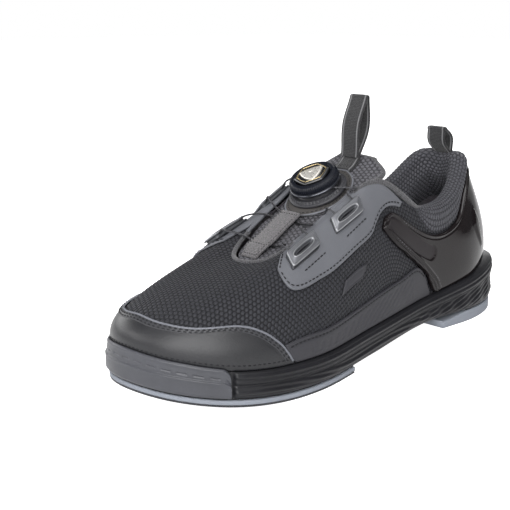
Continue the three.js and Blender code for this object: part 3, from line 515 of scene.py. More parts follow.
def webbing(name, color, pitch=1.1, contrast=2.4, stripe=None):
    """Woven tape: cross ribs with light and dark yarns mixed along them."""
    n = Nodes(name, color, 0.8, specular=0.3)
    ribs = n.wave((1, 0), pitch)
    warp = n.wave((0, 1), pitch * 0.7)
    check = n.math("MULTIPLY", ribs, warp)
    # each yarn's own shade: noise stretched along the tape's width
    stretched = n.vector("MULTIPLY", n.weave(), (1.6, 0.55, 1))
    melange = n.noise(1.15, 3, 0.75, stretched)
    fuzz = n.noise(3000, 2)
    col = n.mix(n.remap(melange, 0.36, 0.64, 0, 1), lighter(color, 0.5), lighter(color, contrast))
    col = n.mix(n.remap(check, 0, 0.8, 0.5, 0), col, lighter(color, 0.3))
    if stripe:
        where, wide, shade = stripe
        v = n.vector("DOT_PRODUCT", n.weave(), (0, 1, 0))
        off = n.math("ABSOLUTE", n.math("SUBTRACT", n.math("ABSOLUTE", v), where))
        col = n.mix(n.remap(off, wide * 0.7, wide, 1, 0), col, shade)
    n.bump(check, 0.00022, 0.8)
    n.bump(fuzz, 0.00006, 0.5)
    n.set("Sheen Weight", 0.2)
    return n.done(col)


def cloth(name, color, pitch=0.9, rough=0.85, contrast=1.5):
    n = Nodes(name, color, rough, specular=0.25)
    p = n.vector("SCALE", n.object, 1000.0)
    a = n.wave((1, 0), pitch, p)
    b = n.wave((0, 1), pitch, p)
    z = n.math("SINE", n.math("MULTIPLY", n.vector("DOT_PRODUCT", p, (0.0, 0.0, 1.0)), 6.28 / pitch))
    weave_ = n.math("ADD", n.math("MULTIPLY", a, b), n.math("MULTIPLY", z, 0.25))
    cloud = n.noise(40, 4)
    fuzz = n.noise(2600, 2)
    col = n.mix(n.remap(weave_, 0, 1, 0, 1), lighter(color, 0.6), lighter(color, contrast))
    col = n.mix(n.remap(cloud, 0.35, 0.7, 0, 0.4), col, lighter(color, 1.5))
    n.bump(weave_, 0.0002, 0.6)
    n.bump(fuzz, 0.00006, 0.5)
    n.set("Sheen Weight", 0.2)
    return n.done(col)


def metal(name, color, rough, brushed=0.0, vary=0.1, metallic=1.0, coat=0.0):
    n = Nodes(name, color, rough, metallic)
    streaks = n.vector("MULTIPLY", n.object, (1, 1, 14) if brushed else (1, 1, 1))
    fine = n.noise(900, 4, 0.6, streaks)
    cloud = n.noise(70, 4)
    col = n.mix(n.remap(cloud, 0.3, 0.7, 0, 1), lighter(color, 1 - vary), lighter(color, 1 + vary))
    n.bump(fine, 0.00002, 0.25 + brushed)
    if coat:
        n.set("Coat Weight", coat)
        n.set("Coat Roughness", 0.1)
    return n.done(col, n.remap(fine, 0.3, 0.75, max(rough - 0.07, 0.03), rough + 0.1))


def cable(name):
    n = Nodes(name, (0.05, 0.05, 0.055), 0.38, 0.85)
    lay = n.wave((0.45, 0.9), 0.36)
    col = n.mix(lay, (0.014, 0.014, 0.016), (0.13, 0.13, 0.14))
    n.bump(lay, 0.00012, 0.9)
    return n.done(col, n.remap(lay, 0, 1, 0.55, 0.3))


M = {
    "knit": knit("honeycomb_knit", (0.0125, 0.0127, 0.0155), CELL, 0.00035, 2.5),
    "padding": knit("padding_knit", (0.04, 0.04, 0.0465), 2.5, 0.0004, 1.9),
    "tongue": knit("tongue_knit", (0.05, 0.049, 0.055), 3.0, 0.0004, 2.6),
    "toe": leather("toe_leather", (0.012, 0.0122, 0.0145), 0.4, 1100, 0.00008, 0.16, 0.5),
    "overlay": leather("overlay_microfibre", (0.108, 0.111, 0.124), 0.6, 2300, 0.00003, 0.12),
    "mudguard": leather("mudguard_microfibre", (0.034, 0.0335, 0.039), 0.52, 2000, 0.00003, 0.12),
    "patch": leather("patch_leather", (0.055, 0.051, 0.049), 0.6, 1800, 0.00005, 0.2),
    "fold": leather("folded_edge", (0.14, 0.145, 0.165), 0.45, 1600, 0.00003, 0.15),
    "fold_band": leather("folded_band", (0.03, 0.0305, 0.035), 0.42, 1300, 0.00004, 0.15, 0.5),
    "binding": webbing("collar_binding_knit", (0.05, 0.049, 0.053), 1.0, 2.6),
    "strap": webbing("strap_webbing", (0.085, 0.081, 0.085), 0.9, 2.3),
    "tab": webbing("tab_webbing", (0.012, 0.0118, 0.013), 0.9, 2.6, (5.4, 0.5, (0.13, 0.13, 0.135))),
    "thread": leather("stitching_thread", (0.011, 0.011, 0.013), 0.6, 4000, 0.00003, 0.3),
    "grey_thread": leather("light_thread", (0.1, 0.1, 0.11), 0.6, 4000, 0.00003, 0.3),
    "midsole": rubber("midsole_rubber", (0.011, 0.011, 0.013), 0.42, specular=0.26),
    "guard": rubber("guard_rubber", (0.046, 0.0475, 0.0555), 0.42, specular=0.45),
    "grey": rubber("grey_foam", (0.19, 0.205, 0.235), 0.7, 5200, 0.00008, 0.05, 0.3),
    "slide": cloth("slide_microfibre", (0.03, 0.031, 0.036), 0.5),
    "hook": cloth("hook_fabric", (0.014, 0.014, 0.016), 0.7, 0.95),
    "lining": cloth("lining_fabric", (0.075, 0.066, 0.08), 1.0),
    "insole": cloth("insole_fabric", (0.05, 0.05, 0.056), 1.2),
    "board": cloth("board_fibre", (0.28, 0.24, 0.18), 0.7, 0.9, 1.2),
    "stiff": cloth("stiffener_fibre", (0.5, 0.46, 0.38), 0.8, 0.9, 1.2),
    "steel": metal("shank_steel", (0.5, 0.51, 0.53), 0.32, 0.2),
    "guide": metal("guide_gunmetal", (0.13, 0.133, 0.145), 0.36, 0.0, 0.08, 0.5),
    # lighter colour for the guides' bevels: a painted highlight
    "guide_highlight": metal("guide_painted_bevel_highlight", (0.3, 0.305, 0.32), 0.34, 0.0, 0.08, 0.8),
    # darker gunmetal for the dish and for the foot under the rim: painted shade
    "guide_shade": metal("guide_recess_painted_shade", (0.055, 0.057, 0.063), 0.42, 0.0, 0.1, 0.6),
    "cap_dark": metal("cap_gloss", (0.02, 0.02, 0.022), 0.08, 0.0, 0.1, 0.35, 0.8),
    "cap_silver": metal("cap_silver", (0.86, 0.83, 0.77), 0.3, 0.0, 0.04, 0.7),
    "cap_gold": metal("cap_gold", (0.62, 0.5, 0.28), 0.24, 0.0, 0.08),
    "knob": rubber("knob_rubber", (0.006, 0.007, 0.011), 0.3, 2600, 0.00002, specular=0.2),
    "dial_ring": metal("dial_ring", (0.05, 0.053, 0.065), 0.16, 0.0, 0.08, 0.75, 0.5),
    "housing": rubber("dial_housing", (0.03, 0.03, 0.034), 0.38, 2600, 0.00002),
    "lace": cable("steel_lace"),
}


def counter_material():
    n = Nodes("counter_gloss", (0.007, 0.005, 0.0055), 0.07, specular=0.2)
    cloud = n.noise(24, 4)
    haze = n.noise(240, 5, 0.65)
    col = n.mix(n.remap(cloud, 0.3, 0.7, 0, 1), (0.005, 0.004, 0.0045), (0.011, 0.0085, 0.009))
    n.bump(n.noise(46, 3), 0.0006, 0.18)
    n.bump(haze, 0.00003, 0.2)
    n.set("Coat Weight", 0.1)
    n.set("Coat Roughness", 0.05)
    return n.done(col, n.remap(haze, 0.35, 0.75, 0.03, 0.1))


M["counter"] = counter_material()
M["counter_matt"] = leather("counter_recess", (0.014, 0.011, 0.0125), 0.42, 2600, 0.00002, 0.1, 0.25)


def keep(node, material):
    """A CAD node that stays in view with a better material."""
    ob = NODES[node]
    for s in ob.material_slots:
        s.material = M[material]
    if not ob.material_slots:
        ob.data.materials.append(M[material])


for node, material in (
    ("shank", "steel"),
    ("lasting_board", "board"),
    ("toe_puff", "stiff"),
    ("heel_stiffener", "stiff"),
    ("forefoot_hook_layer", "hook"),
    ("heel_hook_layer", "hook"),
    ("dial_spool", "housing"),
    ("dial_axle_screw", "steel"),
    ("dial_pawl_ring", "steel"),
):
    keep(node, material)


# ------------------------------------------------------------------ tubes, ribbons and stitches
def frames_along(line, up=None):
    """Tangents, sides and normals along a polyline; up is one vector a point if given."""
    d = np.gradient(line, axis=0)
    d = unit(d)
    if up is None:
        n = np.zeros_like(d)
        n[0] = unit(np.cross(d[0], [0.3, 0.2, 1.0]))
        for i in range(1, len(d)):
            v = n[i - 1] - d[i] * np.dot(n[i - 1], d[i])
            n[i] = unit(v)
        up = n
    side = unit(np.cross(up, d))
    return d, side, unit(np.cross(d, side))


def tube_verts(line, radius, sides=8, up=None):
    _, a, b = frames_along(line, up)
    w = np.arange(sides) / sides * 2 * math.pi
    r = np.broadcast_to(np.asarray(radius, float), (len(line),))[:, None, None]
    return line[:, None] + r * (a[:, None] * np.cos(w)[None, :, None] + b[:, None] * np.sin(w)[None, :, None])


def capped(nu, nv):
    """Faces of a swept ring grid with both ends closed."""
    f = quads(nu, nv, False, True).tolist()
    f.append(list(range(nv))[::-1])
    f.append([(nu - 1) * nv + k for k in range(nv)])
    return f


def tube(name, line, radius, material, body, sides=8, replaces=(), up=None):
    g = tube_verts(line, radius, sides, up)
    s = distances(line)
    r = float(np.max(radius))
    uv = np.stack(np.meshgrid(s, np.arange(sides) / sides * 2 * math.pi * r, indexing="ij"), -1)
    ob = make(name, g.reshape(-1, 3), capped(len(line), sides), material, body, uv.reshape(-1, 2),
              replaces=replaces)
    return fix_normals(ob)


def stitches(name, rows, material, body, length=2.0, pitch=3.0, width=0.62, height=0.34):
    """rows: (points, normals) pairs of polylines lying on a surface; each dash dips at both ends."""
    V, Fc = [], []
    k = 0
    for points, normals in rows:
        points, normals = np.asarray(points, float), np.asarray(normals, float)
        s = distances(points)
        if s[-1] < pitch:
            continue
        count = max(int(round((s[-1] - length) / pitch)), 1)
        starts = np.linspace(0.2, s[-1] - length - 0.2, count + 1)
        for a in starts:
            q = np.linspace(a, a + length, 5)
            p = np.stack([np.interp(q, s, points[:, c]) for c in range(3)], 1)
            n = unit(np.stack([np.interp(q, s, normals[:, c]) for c in range(3)], 1))
            d = unit(np.gradient(p, axis=0))
            side = unit(np.cross(n, d))
            lift = np.array([-0.25, 0.5, 0.75, 0.5, -0.25]) * height
            wide = np.array([0.55, 0.95, 1.0, 0.95, 0.55]) * width / 2
            w = np.arange(6) / 6 * 2 * math.pi
            g = (p + n * lift[:, None])[:, None]
            g = g + wide[:, None, None] * side[:, None] * np.cos(w)[None, :, None]
            g = g + (height / 2) * n[:, None] * np.sin(w)[None, :, None]
            V.append(g.reshape(-1, 3))
            Fc += [[i + k for i in f] for f in capped(5, 6)]
            k += 30
    uv = np.zeros((k, 2))
    return make(name, np.concatenate(V), Fc, material, body, uv)


def on_last(tv, height, n=None):
    """Points and normals of a curve in (t, v) at a height above the last, evenly spaced."""
    c = spline(tv, 240)
    p = over(c[:, 0], c[:, 1], height)
    m = last_normal(c[:, 0], c[:, 1])
    both = np.concatenate([p, m], 1)
    s = distances(p)
    want = np.linspace(0, s[-1], n or max(int(s[-1] / 1.0), 12))
    out = np.stack([np.interp(want, s, both[:, k]) for k in range(6)], 1)
    return out[:, :3], unit(out[:, 3:])


def row_of(line, height):
    """A stitch row on the last, over a line of (t, v) pairs."""
    p = over(line[:, 0], line[:, 1], height)
    return p, last_normal(line[:, 0], line[:, 1])


def inset_line(panel, side, inset, trim=2.0):
    """(t, v) pairs of a panel's line a distance in from one of its edges."""
    d = panel.from_a if side == "a" else panel.from_b
    out = []
    for i in range(len(d)):
        if panel.from_start[i].min() < trim or panel.from_end[i].min() < trim:
            continue
        order = np.argsort(d[i])
        if d[i].max() < inset * 1.6:
            continue
        out.append([np.interp(inset, d[i][order], c[i][order]) for c in (panel.t, panel.v)])
    return np.array(out)


def piping(name, tv, height, radius, material, body="upper"):
    """A cord of cloth or leather along a line of (t, v) pairs."""
    p, m = on_last(tv, height)
    return tube(name, p, radius, material, body, 10, up=m)


def mirror(points):
    return [[STATIONS - t, v] for t, v in points]


# ------------------------------------------------------------------ camera, floor and light
def look_at(ob, target):
    d = Vector(target) - ob.location
    ob.rotation_euler = d.to_track_quat("-Z", "Y").to_euler()


cam = bpy.data.objects.new("camera", bpy.data.cameras.new("camera"))
bpy.context.collection.objects.link(cam)
cam.location = (0.4265, 0.3844, 0.1992)
look_at(cam, (0.03906, -0.0235, 0.05796))
cam.data.sensor_width = 36
cam.data.lens = 68.37
bpy.context.scene.camera = cam

floor_material = Nodes("studio_floor", (0.6, 0.6, 0.6), 0.75, specular=0.2)
floor_material.bump(floor_material.noise(300, 3), 0.00002, 0.1)
floor_material.set("Emission Color", (1, 1, 1, 1))
# the floor seen directly is as white as the backdrop; what it throws back on the shoe is dimmer
floor_path = floor_material.new("ShaderNodeLightPath")
floor_material.link(floor_material.math("MULTIPLY_ADD", floor_path.outputs["Is Camera Ray"], 0.6, 0.4),
                    floor_material.bsdf.inputs["Emission Strength"])
floor_mesh = bpy.data.meshes.new("studio_floor")
floor_mesh.from_pydata([(-6, -6, 0), (6, -6, 0), (6, 6, 0), (-6, 6, 0)], [], [(0, 1, 2, 3)])
floor_mesh.materials.append(floor_material.done(floor_material.mix(
    floor_material.noise(3, 2), (0.6, 0.6, 0.605), (0.62, 0.62, 0.62))))
floor = bpy.data.objects.new("studio_floor", floor_mesh)
floor.location.z = -0.0003
bpy.context.collection.objects.link(floor)

world = bpy.data.worlds.new("studio")
bpy.context.scene.world = world
world.use_nodes = True
tree = world.node_tree
ambient = tree.nodes["Background"]
coordinates = tree.nodes.new("ShaderNodeTexCoord")
axes = tree.nodes.new("ShaderNodeSeparateXYZ")
sky = tree.nodes.new("ShaderNodeValToRGB")
tree.links.new(coordinates.outputs["Generated"], axes.inputs["Vector"])
tree.links.new(axes.outputs["Z"], sky.inputs["Fac"])
# a white sweep up to just above the horizon, a dimmer room overhead
for stop, (position, level) in zip(sky.color_ramp.elements, ((0.1, 0.75), (0.34, 0.42))):
    stop.position = position
    stop.color = (level, level * 1.005, level * 1.015, 1)
tree.links.new(sky.outputs["Color"], ambient.inputs["Color"])
ambient.inputs["Strength"].default_value = 0.13
# the backdrop seen directly is plain white
backdrop = tree.nodes.new("ShaderNodeBackground")
backdrop.inputs["Color"].default_value = (1, 1, 1, 1)
backdrop.inputs["Strength"].default_value = 1.0
ray = tree.nodes.new("ShaderNodeLightPath")
choice = tree.nodes.new("ShaderNodeMixShader")
tree.links.new(ray.outputs["Is Camera Ray"], choice.inputs["Fac"])
tree.links.new(ambient.outputs["Background"], choice.inputs[1])
tree.links.new(backdrop.outputs["Background"], choice.inputs[2])
tree.links.new(choice.outputs["Shader"], tree.nodes["World Output"].inputs["Surface"])
bpy.context.scene.view_settings.view_transform = "Standard"


def area(name, place, target, size, power):
    light = bpy.data.lights.new(name, "AREA")
    light.shape = "RECTANGLE"
    light.size, light.size_y = size
    light.energy = power
    ob = bpy.data.objects.new(name, light)
    ob.location = place
    look_at(ob, target)
    bpy.context.collection.objects.link(ob)


area("key", (0.5, 0.9, 1.9), (0, 0, 0.05), (0.9, 0.9), 12)
area("top", (0.2, 0.0, 2.4), (0, 0, 0.0), (2.4, 2.4), 19)
area("front", (1.5, -0.75, 0.62), (0.05, 0, 0.05), (0.9, 0.5), 7)
area("side", (0.25, 1.6, 0.5), (0.05, 0, 0.05), (1.1, 0.4), 3)
area("rim", (-1.5, -0.6, 1.0), (0, 0, 0.08), (0.8, 1.2), 12)
area("left", (0.45, -1.4, 0.5), (0.08, 0, 0.05), (1.4, 0.6), 8)
area("above_camera", (0.95, 0.78, 1.15), (0.05, 0, 0.05), (1.3, 0.8), 11)
area("behind_camera", (1.26, 0.95, 0.7), (0.12, 0, 0.04), (1.9, 0.8), 30)


# ------------------------------------------------------------------ knitted upper
def section_table():
    """Arc length across the shoe from its centre line, by x and by angle round an inner axis."""
    T, V = np.meshgrid(np.linspace(0, 16, 1200, endpoint=False), np.linspace(0, 1, 90), indexing="ij")
    P = last(T, V).reshape(-1, 3)
    P[:, 2] -= 22
    ang = np.arctan2(P[:, 1], P[:, 2])
    r = np.hypot(P[:, 1], P[:, 2])
    xs = np.arange(14, 292, 4.0)
    grid = np.radians(np.arange(-120, 121, 2.0))
    W = []
    for x in xs:
        near = np.abs(P[:, 0] - x) < 3
        o = np.argsort(ang[near])
        rr = np.interp(grid, ang[near][o], r[near][o])
        rr = np.convolve(np.pad(rr, 4, "edge"), np.ones(9) / 9, "valid")
        step = np.hypot(rr, np.gradient(rr, grid)) * np.gradient(grid)
        w = np.cumsum(step)
        W.append(w - np.interp(0, grid, w))
    W = np.array(W)
    for _ in range(3):
        W[1:-1] = (W[:-2] + 2 * W[1:-1] + W[2:]) / 4
    return xs, grid, W


XS, ANGLES, ACROSS = section_table()


def knit_uv(p):
    """Millimetres along the shoe and across it, for points near the last."""
    ang = np.arctan2(p[..., 1], p[..., 2] - 22)
    fx = np.clip((p[..., 0] - XS[0]) / 4.0, 0, len(XS) - 1.001)
    fa = np.clip((ang - ANGLES[0]) / (ANGLES[1] - ANGLES[0]), 0, len(ANGLES) - 1.001)
    i, j = fx.astype(int), fa.astype(int)
    a, b = fx - i, fa - j
    w = (ACROSS[i, j] * (1 - a) + ACROSS[i + 1, j] * a) * (1 - b) + (
        ACROSS[i, j + 1] * (1 - a) + ACROSS[i + 1, j + 1] * a) * b
    return np.stack([p[..., 0], w], -1)


def hex_dome(uv, cell):
    """1 in the middle of hexagonal cells, 0 at their edges."""
    best = None
    for s in ((0, 0), (0.5, 0.8660254)):
        q = uv / cell + s
        q = q - np.stack([np.round(q[..., 0]), np.round(q[..., 1] / 1.7320508) * 1.7320508], -1)
        q = np.abs(q)
        h = np.maximum(q[..., 0], q[..., 0] * 0.5 + q[..., 1] * 0.8660254)
        best = h if best is None else np.minimum(best, h)
    return smooth(0.5 - best, 0.0, 0.28)


def build_knit():
    nt = 1040
    T = np.arange(nt) / nt * 16
    rows = [(v, -MESH) for v in (0.82, 0.92, 0.985)]
    rows += [(1.0, -MESH + 0.25), (1.0, -0.25)]
    vs = 1 - np.linspace(0, 1, 118)
    rows += [(v, 0.0) for v in vs] + [(0.0, -MESH)]
    V = np.array([r[0] for r in rows])
    H = np.array([r[1] for r in rows])
    TT, VV = np.meshgrid(T, V, indexing="ij")
    base = last(TT, VV)
    N = last_normal(TT, VV)
    uv = knit_uv(base)
    dome = hex_dome(uv, CELL)
    out = np.broadcast_to((H == 0.0) & (V < 0.995) & (V > 0.005), TT.shape)
    top = np.broadcast_to(H, TT.shape) + np.where(out, (dome - 0.55) * 0.34, 0)
    P = base + N * top[..., None]
    ob = make("upper_knit", P.reshape(-1, 3), quads(nt, len(rows), True), M["knit"], "upper",
              uv.reshape(-1, 2),
              replaces=("mesh_vamp", "mesh_lateral_quarter", "mesh_medial_quarter", "mesh_back_quarter"))
    fix_normals(ob)


build_knit()

# ------------------------------------------------------------------ toe cap and mudguards
SEAM_LINE = [[5.36, 0.03], [5.45, 0.1], [5.6, 0.18], [5.9, 0.27], [6.3, 0.32], [6.9, 0.3], [7.5, 0.31],
             [8, 0.33]]
RIM = 0.015
both = SEAM_LINE + mirror(SEAM_LINE[:-1])[::-1]
cap_low = [[t, RIM * 0.6] for t in np.linspace(5.33, STATIONS - 5.33, 15)]
toe = Panel(cap_low, both, 240, 1.2, 1.2, 0.9)
# the cap's skin dips in a little along a line 3.9 mm inside its upper edge
d = toe.from_b
groove = -0.2 * np.exp(-((d - 3.9) / 0.5) ** 2)
toe.build("toe_cap_leather", LIFT, LIFT + OVERLAY, M["toe"], "upper", ("toe_cap",), groove)
# the leather is folded back in a band along the edge, with two rows sewn through it
wide = [i for i in range(len(d))
        if d[i].max() > 5.6 and min(toe.from_start[i].min(), toe.from_end[i].min()) > 2.5]


def at_inset(inset):
    out = []
    for i in wide:
        order = np.argsort(d[i])
        out.append([np.interp(inset, d[i][order], c[i][order]) for c in (toe.t, toe.v)])
    return np.array(out)


band = Panel(at_inset(3.5), at_inset(0.25), 240, 1.2, 0.5, 0.5)
rows = [at_inset(1.15), at_inset(2.65)]
dip = np.exp(-((band.from_b - 0.95) / 0.35) ** 2) + np.exp(-((band.from_b - 2.4) / 0.35) ** 2)
band.build("toe_cap_fold_band", LIFT + OVERLAY - 0.35, LIFT + OVERLAY + 0.3, M["fold_band"], "upper",
           extra=-0.16 * dip)
stitches("toe_cap_stitching", [row_of(r, LIFT + OVERLAY + 0.2) for r in rows], M["thread"], "upper",
         1.9, 2.9, 0.75, 0.42)
lasting = spline([[t, 0.052] for t in np.linspace(5.42, STATIONS - 5.42, 24)], 240)
stitches("toe_cap_lasting_stitching", [row_of(lasting, LIFT + OVERLAY - 0.08)], M["thread"], "upper",
         1.9, 2.9, 0.6, 0.42)
piping("toe_cap_fold", [[t, v + 0.004] for t, v in both], LIFT + 0.72, 0.72, M["fold"])

MUD_TOP = [[2.96, 0.24], [3.12, 0.36], [3.45, 0.28], [4.05, 0.21], [4.75, 0.19], [5.25, 0.187], [5.51, 0.16]]
MUD_LOW = [[2.83, RIM], [3.2, RIM], [3.7, RIM], [4.2, RIM], [4.7, RIM], [5.1, RIM], [5.32, RIM]]
for side, turn in (("lateral", lambda p: p), ("medial", mirror)):
    mud = Panel(turn(MUD_LOW), turn(MUD_TOP), 200, 1.0, 0.9, 0.8)
    # a generic row of slanted bars pressed into the strip
    u, w = mud.uv[..., 0], mud.from_a
    slant = np.mod(u + w * 0.5, 7.0) / 7.0
    inside = (mud.from_b > 5.2) & (mud.from_a > 3.2) & (mud.from_start > 16) & (mud.from_end > 14)
    bars = smooth(0.2 - np.abs(slant - 0.5), 0, 0.07) * inside
    dip = -0.3 * bars - 0.2 * np.exp(-((mud.from_b - 2.2) / 0.55) ** 2)
    mud.build(f"{side}_mudguard_strip", LIFT, LIFT + OVERLAY, M["mudguard"], "upper", (f"{side}_mudguard",),
              dip)
    line = inset_line(mud, "b", 2.2, 2.0)
    stitches(f"{side}_mudguard_stitching", [row_of(line, LIFT + OVERLAY - 0.1)], M["thread"], "upper",
             2.1, 3.0, 0.8, 0.42)

# ------------------------------------------------------------------ eyestays
STAY_INNER = [[3.52, 0.91], [3.9, 0.945], [4.25, 0.955], [4.5, 0.985], [5, 0.985], [5.5, 0.985], [5.95, 0.96],
              [6.25, 0.84]]
STAY_OUTER = [[3.56, 0.85], [3.76, 0.8], [3.91, 0.735], [4.01, 0.66], [4.13, 0.58], [4.55, 0.53], [5.1, 0.485],
              [5.6, 0.485], [6.08, 0.68]]
GUIDE = {"length": 24.5, "width": 9.6}
GUIDE_PLACES = {"upper": (4.72, 0.8), "lower": (5.62, 0.735)}


def guide_frame(side, t, v):
    place = t if side > 0 else STATIONS - t
    z = last_normal(place, v)
    p = over(place, v, LIFT + OVERLAY + GAP)
    down = ring(S, place + 0.25 * side) - ring(S, place - 0.25 * side)
    x = unit(down - z * np.dot(down, z))
    return p, x, np.cross(z, x), z


def nearest_on_last(points):
    """(t, v) of the last's nearest point to each of some points, by search on a grid."""
    out = []
    T, V = np.meshgrid(np.linspace(0, 16, 800, endpoint=False), np.linspace(0, 1, 160), indexing="ij")
    G = last(T, V).reshape(-1, 3)
    for p in points:
        k = np.argmin(((G - p) ** 2).sum(1))
        out.append([T.ravel()[k], V.ravel()[k]])
    return np.array(out)


for side, turn, sign in (("lateral", lambda p: p, 1), ("medial", mirror, -1)):
    stay = Panel(turn(STAY_INNER), turn(STAY_OUTER), 200, 1.0, 1.0, 0.9)
    grid_ = over(stay.t, stay.v, 0.0)
    dip = -0.16 * np.exp(-((stay.border - 2.3) / 0.6) ** 2)
    for level in ("upper", "lower"):
        p, x, y, z = guide_frame(sign, *GUIDE_PLACES[level])
        rel = grid_ - p
        a, b = rel @ x, rel @ y
        # the microfibre sinks a little round each guide
        box = np.maximum(np.abs(a) - 11, np.abs(b) - 6.25)
        dip = dip - 0.22 * np.exp(-(np.clip(box, 0, 9) / 2.2) ** 2)
    stay.build(f"{side}_eyestay_panel", LIFT, LIFT + OVERLAY, M["overlay"], "upper", (f"{side}_eyestay",),
               dip)
    rows = [row_of(inset_line(stay, "b", 2.3, 1.2), LIFT + OVERLAY - 0.08)]
    # a second row crosses the front of the stay
    last_i = int(np.argmax(stay.from_end.max(axis=1) < 2.2)) - 1
    front = np.array([[stay.t[last_i, j], stay.v[last_i, j]] for j in range(stay.t.shape[1])
                      if min(stay.from_a[last_i, j], stay.from_b[last_i, j]) > 2.2])
    rows.append(row_of(front[::-1], LIFT + OVERLAY - 0.08))
    start_i = int(np.argmax(stay.from_start[:, 0] > 2.3))
    back = np.array([[stay.t[start_i, j], stay.v[start_i, j]] for j in range(stay.t.shape[1])
                     if min(stay.from_a[start_i, j], stay.from_b[start_i, j]) > 1.2])
    if len(back) > 3:
        rows.append(row_of(back, LIFT + OVERLAY - 0.08))
    for level in ("upper", "lower"):
        p, x, y, z = guide_frame(sign, *GUIDE_PLACES[level])
        # y points to the throat or away from it: the row is on the side that is lower on the shoe
        away = y if y[2] < 0 else -y
        pts = np.array([p + x * a + away * 9.6 for a in np.linspace(-9, 11, 14)])
        tv = nearest_on_last(pts)
        tv = np.stack([np.polyval(np.polyfit(np.arange(14), tv[:, k], 2), np.arange(14)) for k in (0, 1)], 1)
        rows.append(row_of(tv, LIFT + OVERLAY + 0.02))
    stitches(f"{side}_eyestay_stitching", rows, M["thread"], "upper", 2.0, 3.0, 0.8, 0.42)


# knitted tape round the front of the throat, and the eyestays' rolled inner edges
piping("throat_binding_tape", [[t, 0.992] for t in np.linspace(6.15, 9.85, 30)], 0.15, 1.35, M["binding"])
piping("lateral_eyestay_roll", [[t, 0.99] for t in np.linspace(4.72, 6.2, 20)], 0.9, 1.25, M["overlay"])
piping("medial_eyestay_roll", [[t, 0.99] for t in np.linspace(9.8, 11.28, 20)], 0.9, 1.25, M["overlay"])


# ------------------------------------------------------------------ lace guides
def superellipse_ring(n, half_l, half_w, power, skew=0.0):
    w = np.arange(n) / n * 2 * math.pi
    c, s = np.cos(w), np.sin(w)
    x = np.sign(c) * np.abs(c) ** (2 / power) * half_l
    y = np.sign(s) * np.abs(s) ** (2 / power) * half_w
    return np.stack([x + skew * y, y], 1)


def build_guide(side_name, sign, level):
    p, x, y, z = guide_frame(sign, *GUIDE_PLACES[level])
    n = 160
    L, W = GUIDE["length"] / 2, GUIDE["width"] / 2
    p = p + x * 2.2
    throat = 1 if y[2] > 0 else -1
    skew = -0.55 * throat
    levels = [
        # half length, half width, power, height
        (L, W, 12, -0.9),
        (L, W, 12, 0.3),
        (L - 0.12, W - 0.12, 12, 0.5),
        (L - 0.9, W - 0.9, 10, 0.62),
        (L - 0.9, W - 0.9, 10, 1.5),
        (L - 0.25, W - 0.25, 12, 1.68),
        (L - 0.2, W - 0.2, 12, 2.45),
        (L - 0.75, W - 0.7, 12, 3.0),
        (L - 1.1, W - 1.0, 10, 3.1),
        (L - 2.9, W - 2.1, 3.4, 3.05),
        (L - 3.2, W - 2.35, 2.8, 3.4),
        (L - 3.6, W - 2.65, 2.6, 3.5),
        (L - 4.0, W - 2.95, 2.5, 3.3),
        (L - 4.2, W - 3.1, 2.4, 2.3),
        (L - 4.6, W - 3.4, 2.4, 2.0),
        (L - 7.4, W - 5.2, 2.2, 2.1),
    ]
    rings = []
    for hl, hw, power, h in levels:
        r = superellipse_ring(n, hl, hw, power, skew if h < 3.2 else 0.7 * skew)
        rings.append(np.concatenate([r, np.full((n, 1), h)], 1))
    local = np.array(rings)
    P = p + local[..., 0:1] * x + local[..., 1:2] * y + local[..., 2:3] * z
    k = len(levels)
    faces = quads(k, n, False, True).tolist()
    faces.append([(k - 1) * n + i for i in range(n)])
    faces.append(list(range(n))[::-1])
    uv = np.stack([local[..., 0], local[..., 1]], -1).reshape(-1, 2)
    ob = make(f"{side_name}_{level}_guide_shell", P.reshape(-1, 3), faces, M["guide"], "upper", uv,
              replaces=(f"{side_name}_{level}_guide",))
    fix_normals(ob)
    ob.data.materials.append(M["guide_shade"])
    ob.data.materials.append(M["guide_highlight"])
    for f in ob.data.polygons:
        level_of_face = min(i // n for i in f.vertices)
        # the foot, the neck under the overhanging rim and the dish take the painted shade colour
        if level_of_face <= 4 or level_of_face >= 13:
            f.material_index = 1
        # the bevels of levels 6, 10 and 11 take the painted highlight colour
        if level_of_face in (6, 10, 11):
            f.material_index = 2


for side, sign in (("lateral", 1), ("medial", -1)):
    for level in ("upper", "lower"):
        build_guide(side, sign, level)

# ------------------------------------------------------------------ heel counter
COUNTER_FRONT = [[2.74, 0.02], [2.84, 0.16], [3.08, 0.36], [3.36, 0.485], [3.66, 0.565], [3.86, 0.63]]
COUNTER_TOP = [[0, 0.9], [0.9, 0.89], [1.6, 0.86], [2.1, 0.74], [2.6, 0.7], [3.1, 0.765], [3.45, 0.775],
               [3.7, 0.765], [3.84, 0.7]]
COUNTER_LOW = [[0, RIM], [1.4, RIM]] + COUNTER_FRONT


def spaced(points, n=48):
    """Points evenly spaced in (t, v), as the counter's edges are cut."""
    p = spline(points, 600)
    s = distances(p)
    want = np.linspace(0, s[-1], n + 1)
    return np.stack([np.interp(want, s, p[:, k]) for k in (0, 1)], 1)


def round_heel(points):
    return [[-t, v] for t, v in points[1:]][::-1] + list(points)


counter = Panel(spaced(round_heel(COUNTER_LOW)), spaced(round_heel(COUNTER_TOP)), 420, 1.1, 1.0, 1.3)
T_, V_ = counter.t, counter.v
p_ = over(T_, V_, 0.0)
# distance of every point from the counter's outline, in millimetres, each piece of edge by itself
front_line = np.concatenate([over(*(c.T), 0.0)[None] for c in (
    spline(COUNTER_FRONT + [[3.9, 0.665], [3.84, 0.7]], 120),
    spline([[-t, v] for t, v in COUNTER_FRONT + [[3.9, 0.665], [3.84, 0.7]]], 120))])
top_line = over(*(spline(round_heel(COUNTER_TOP), 400).T), 0.0)


def distance_to(points, line):
    out = np.full(points.shape[0], 1e9)
    for q in line:
        out = np.minimum(out, ((points - q) ** 2).sum(1))
    return np.sqrt(out)


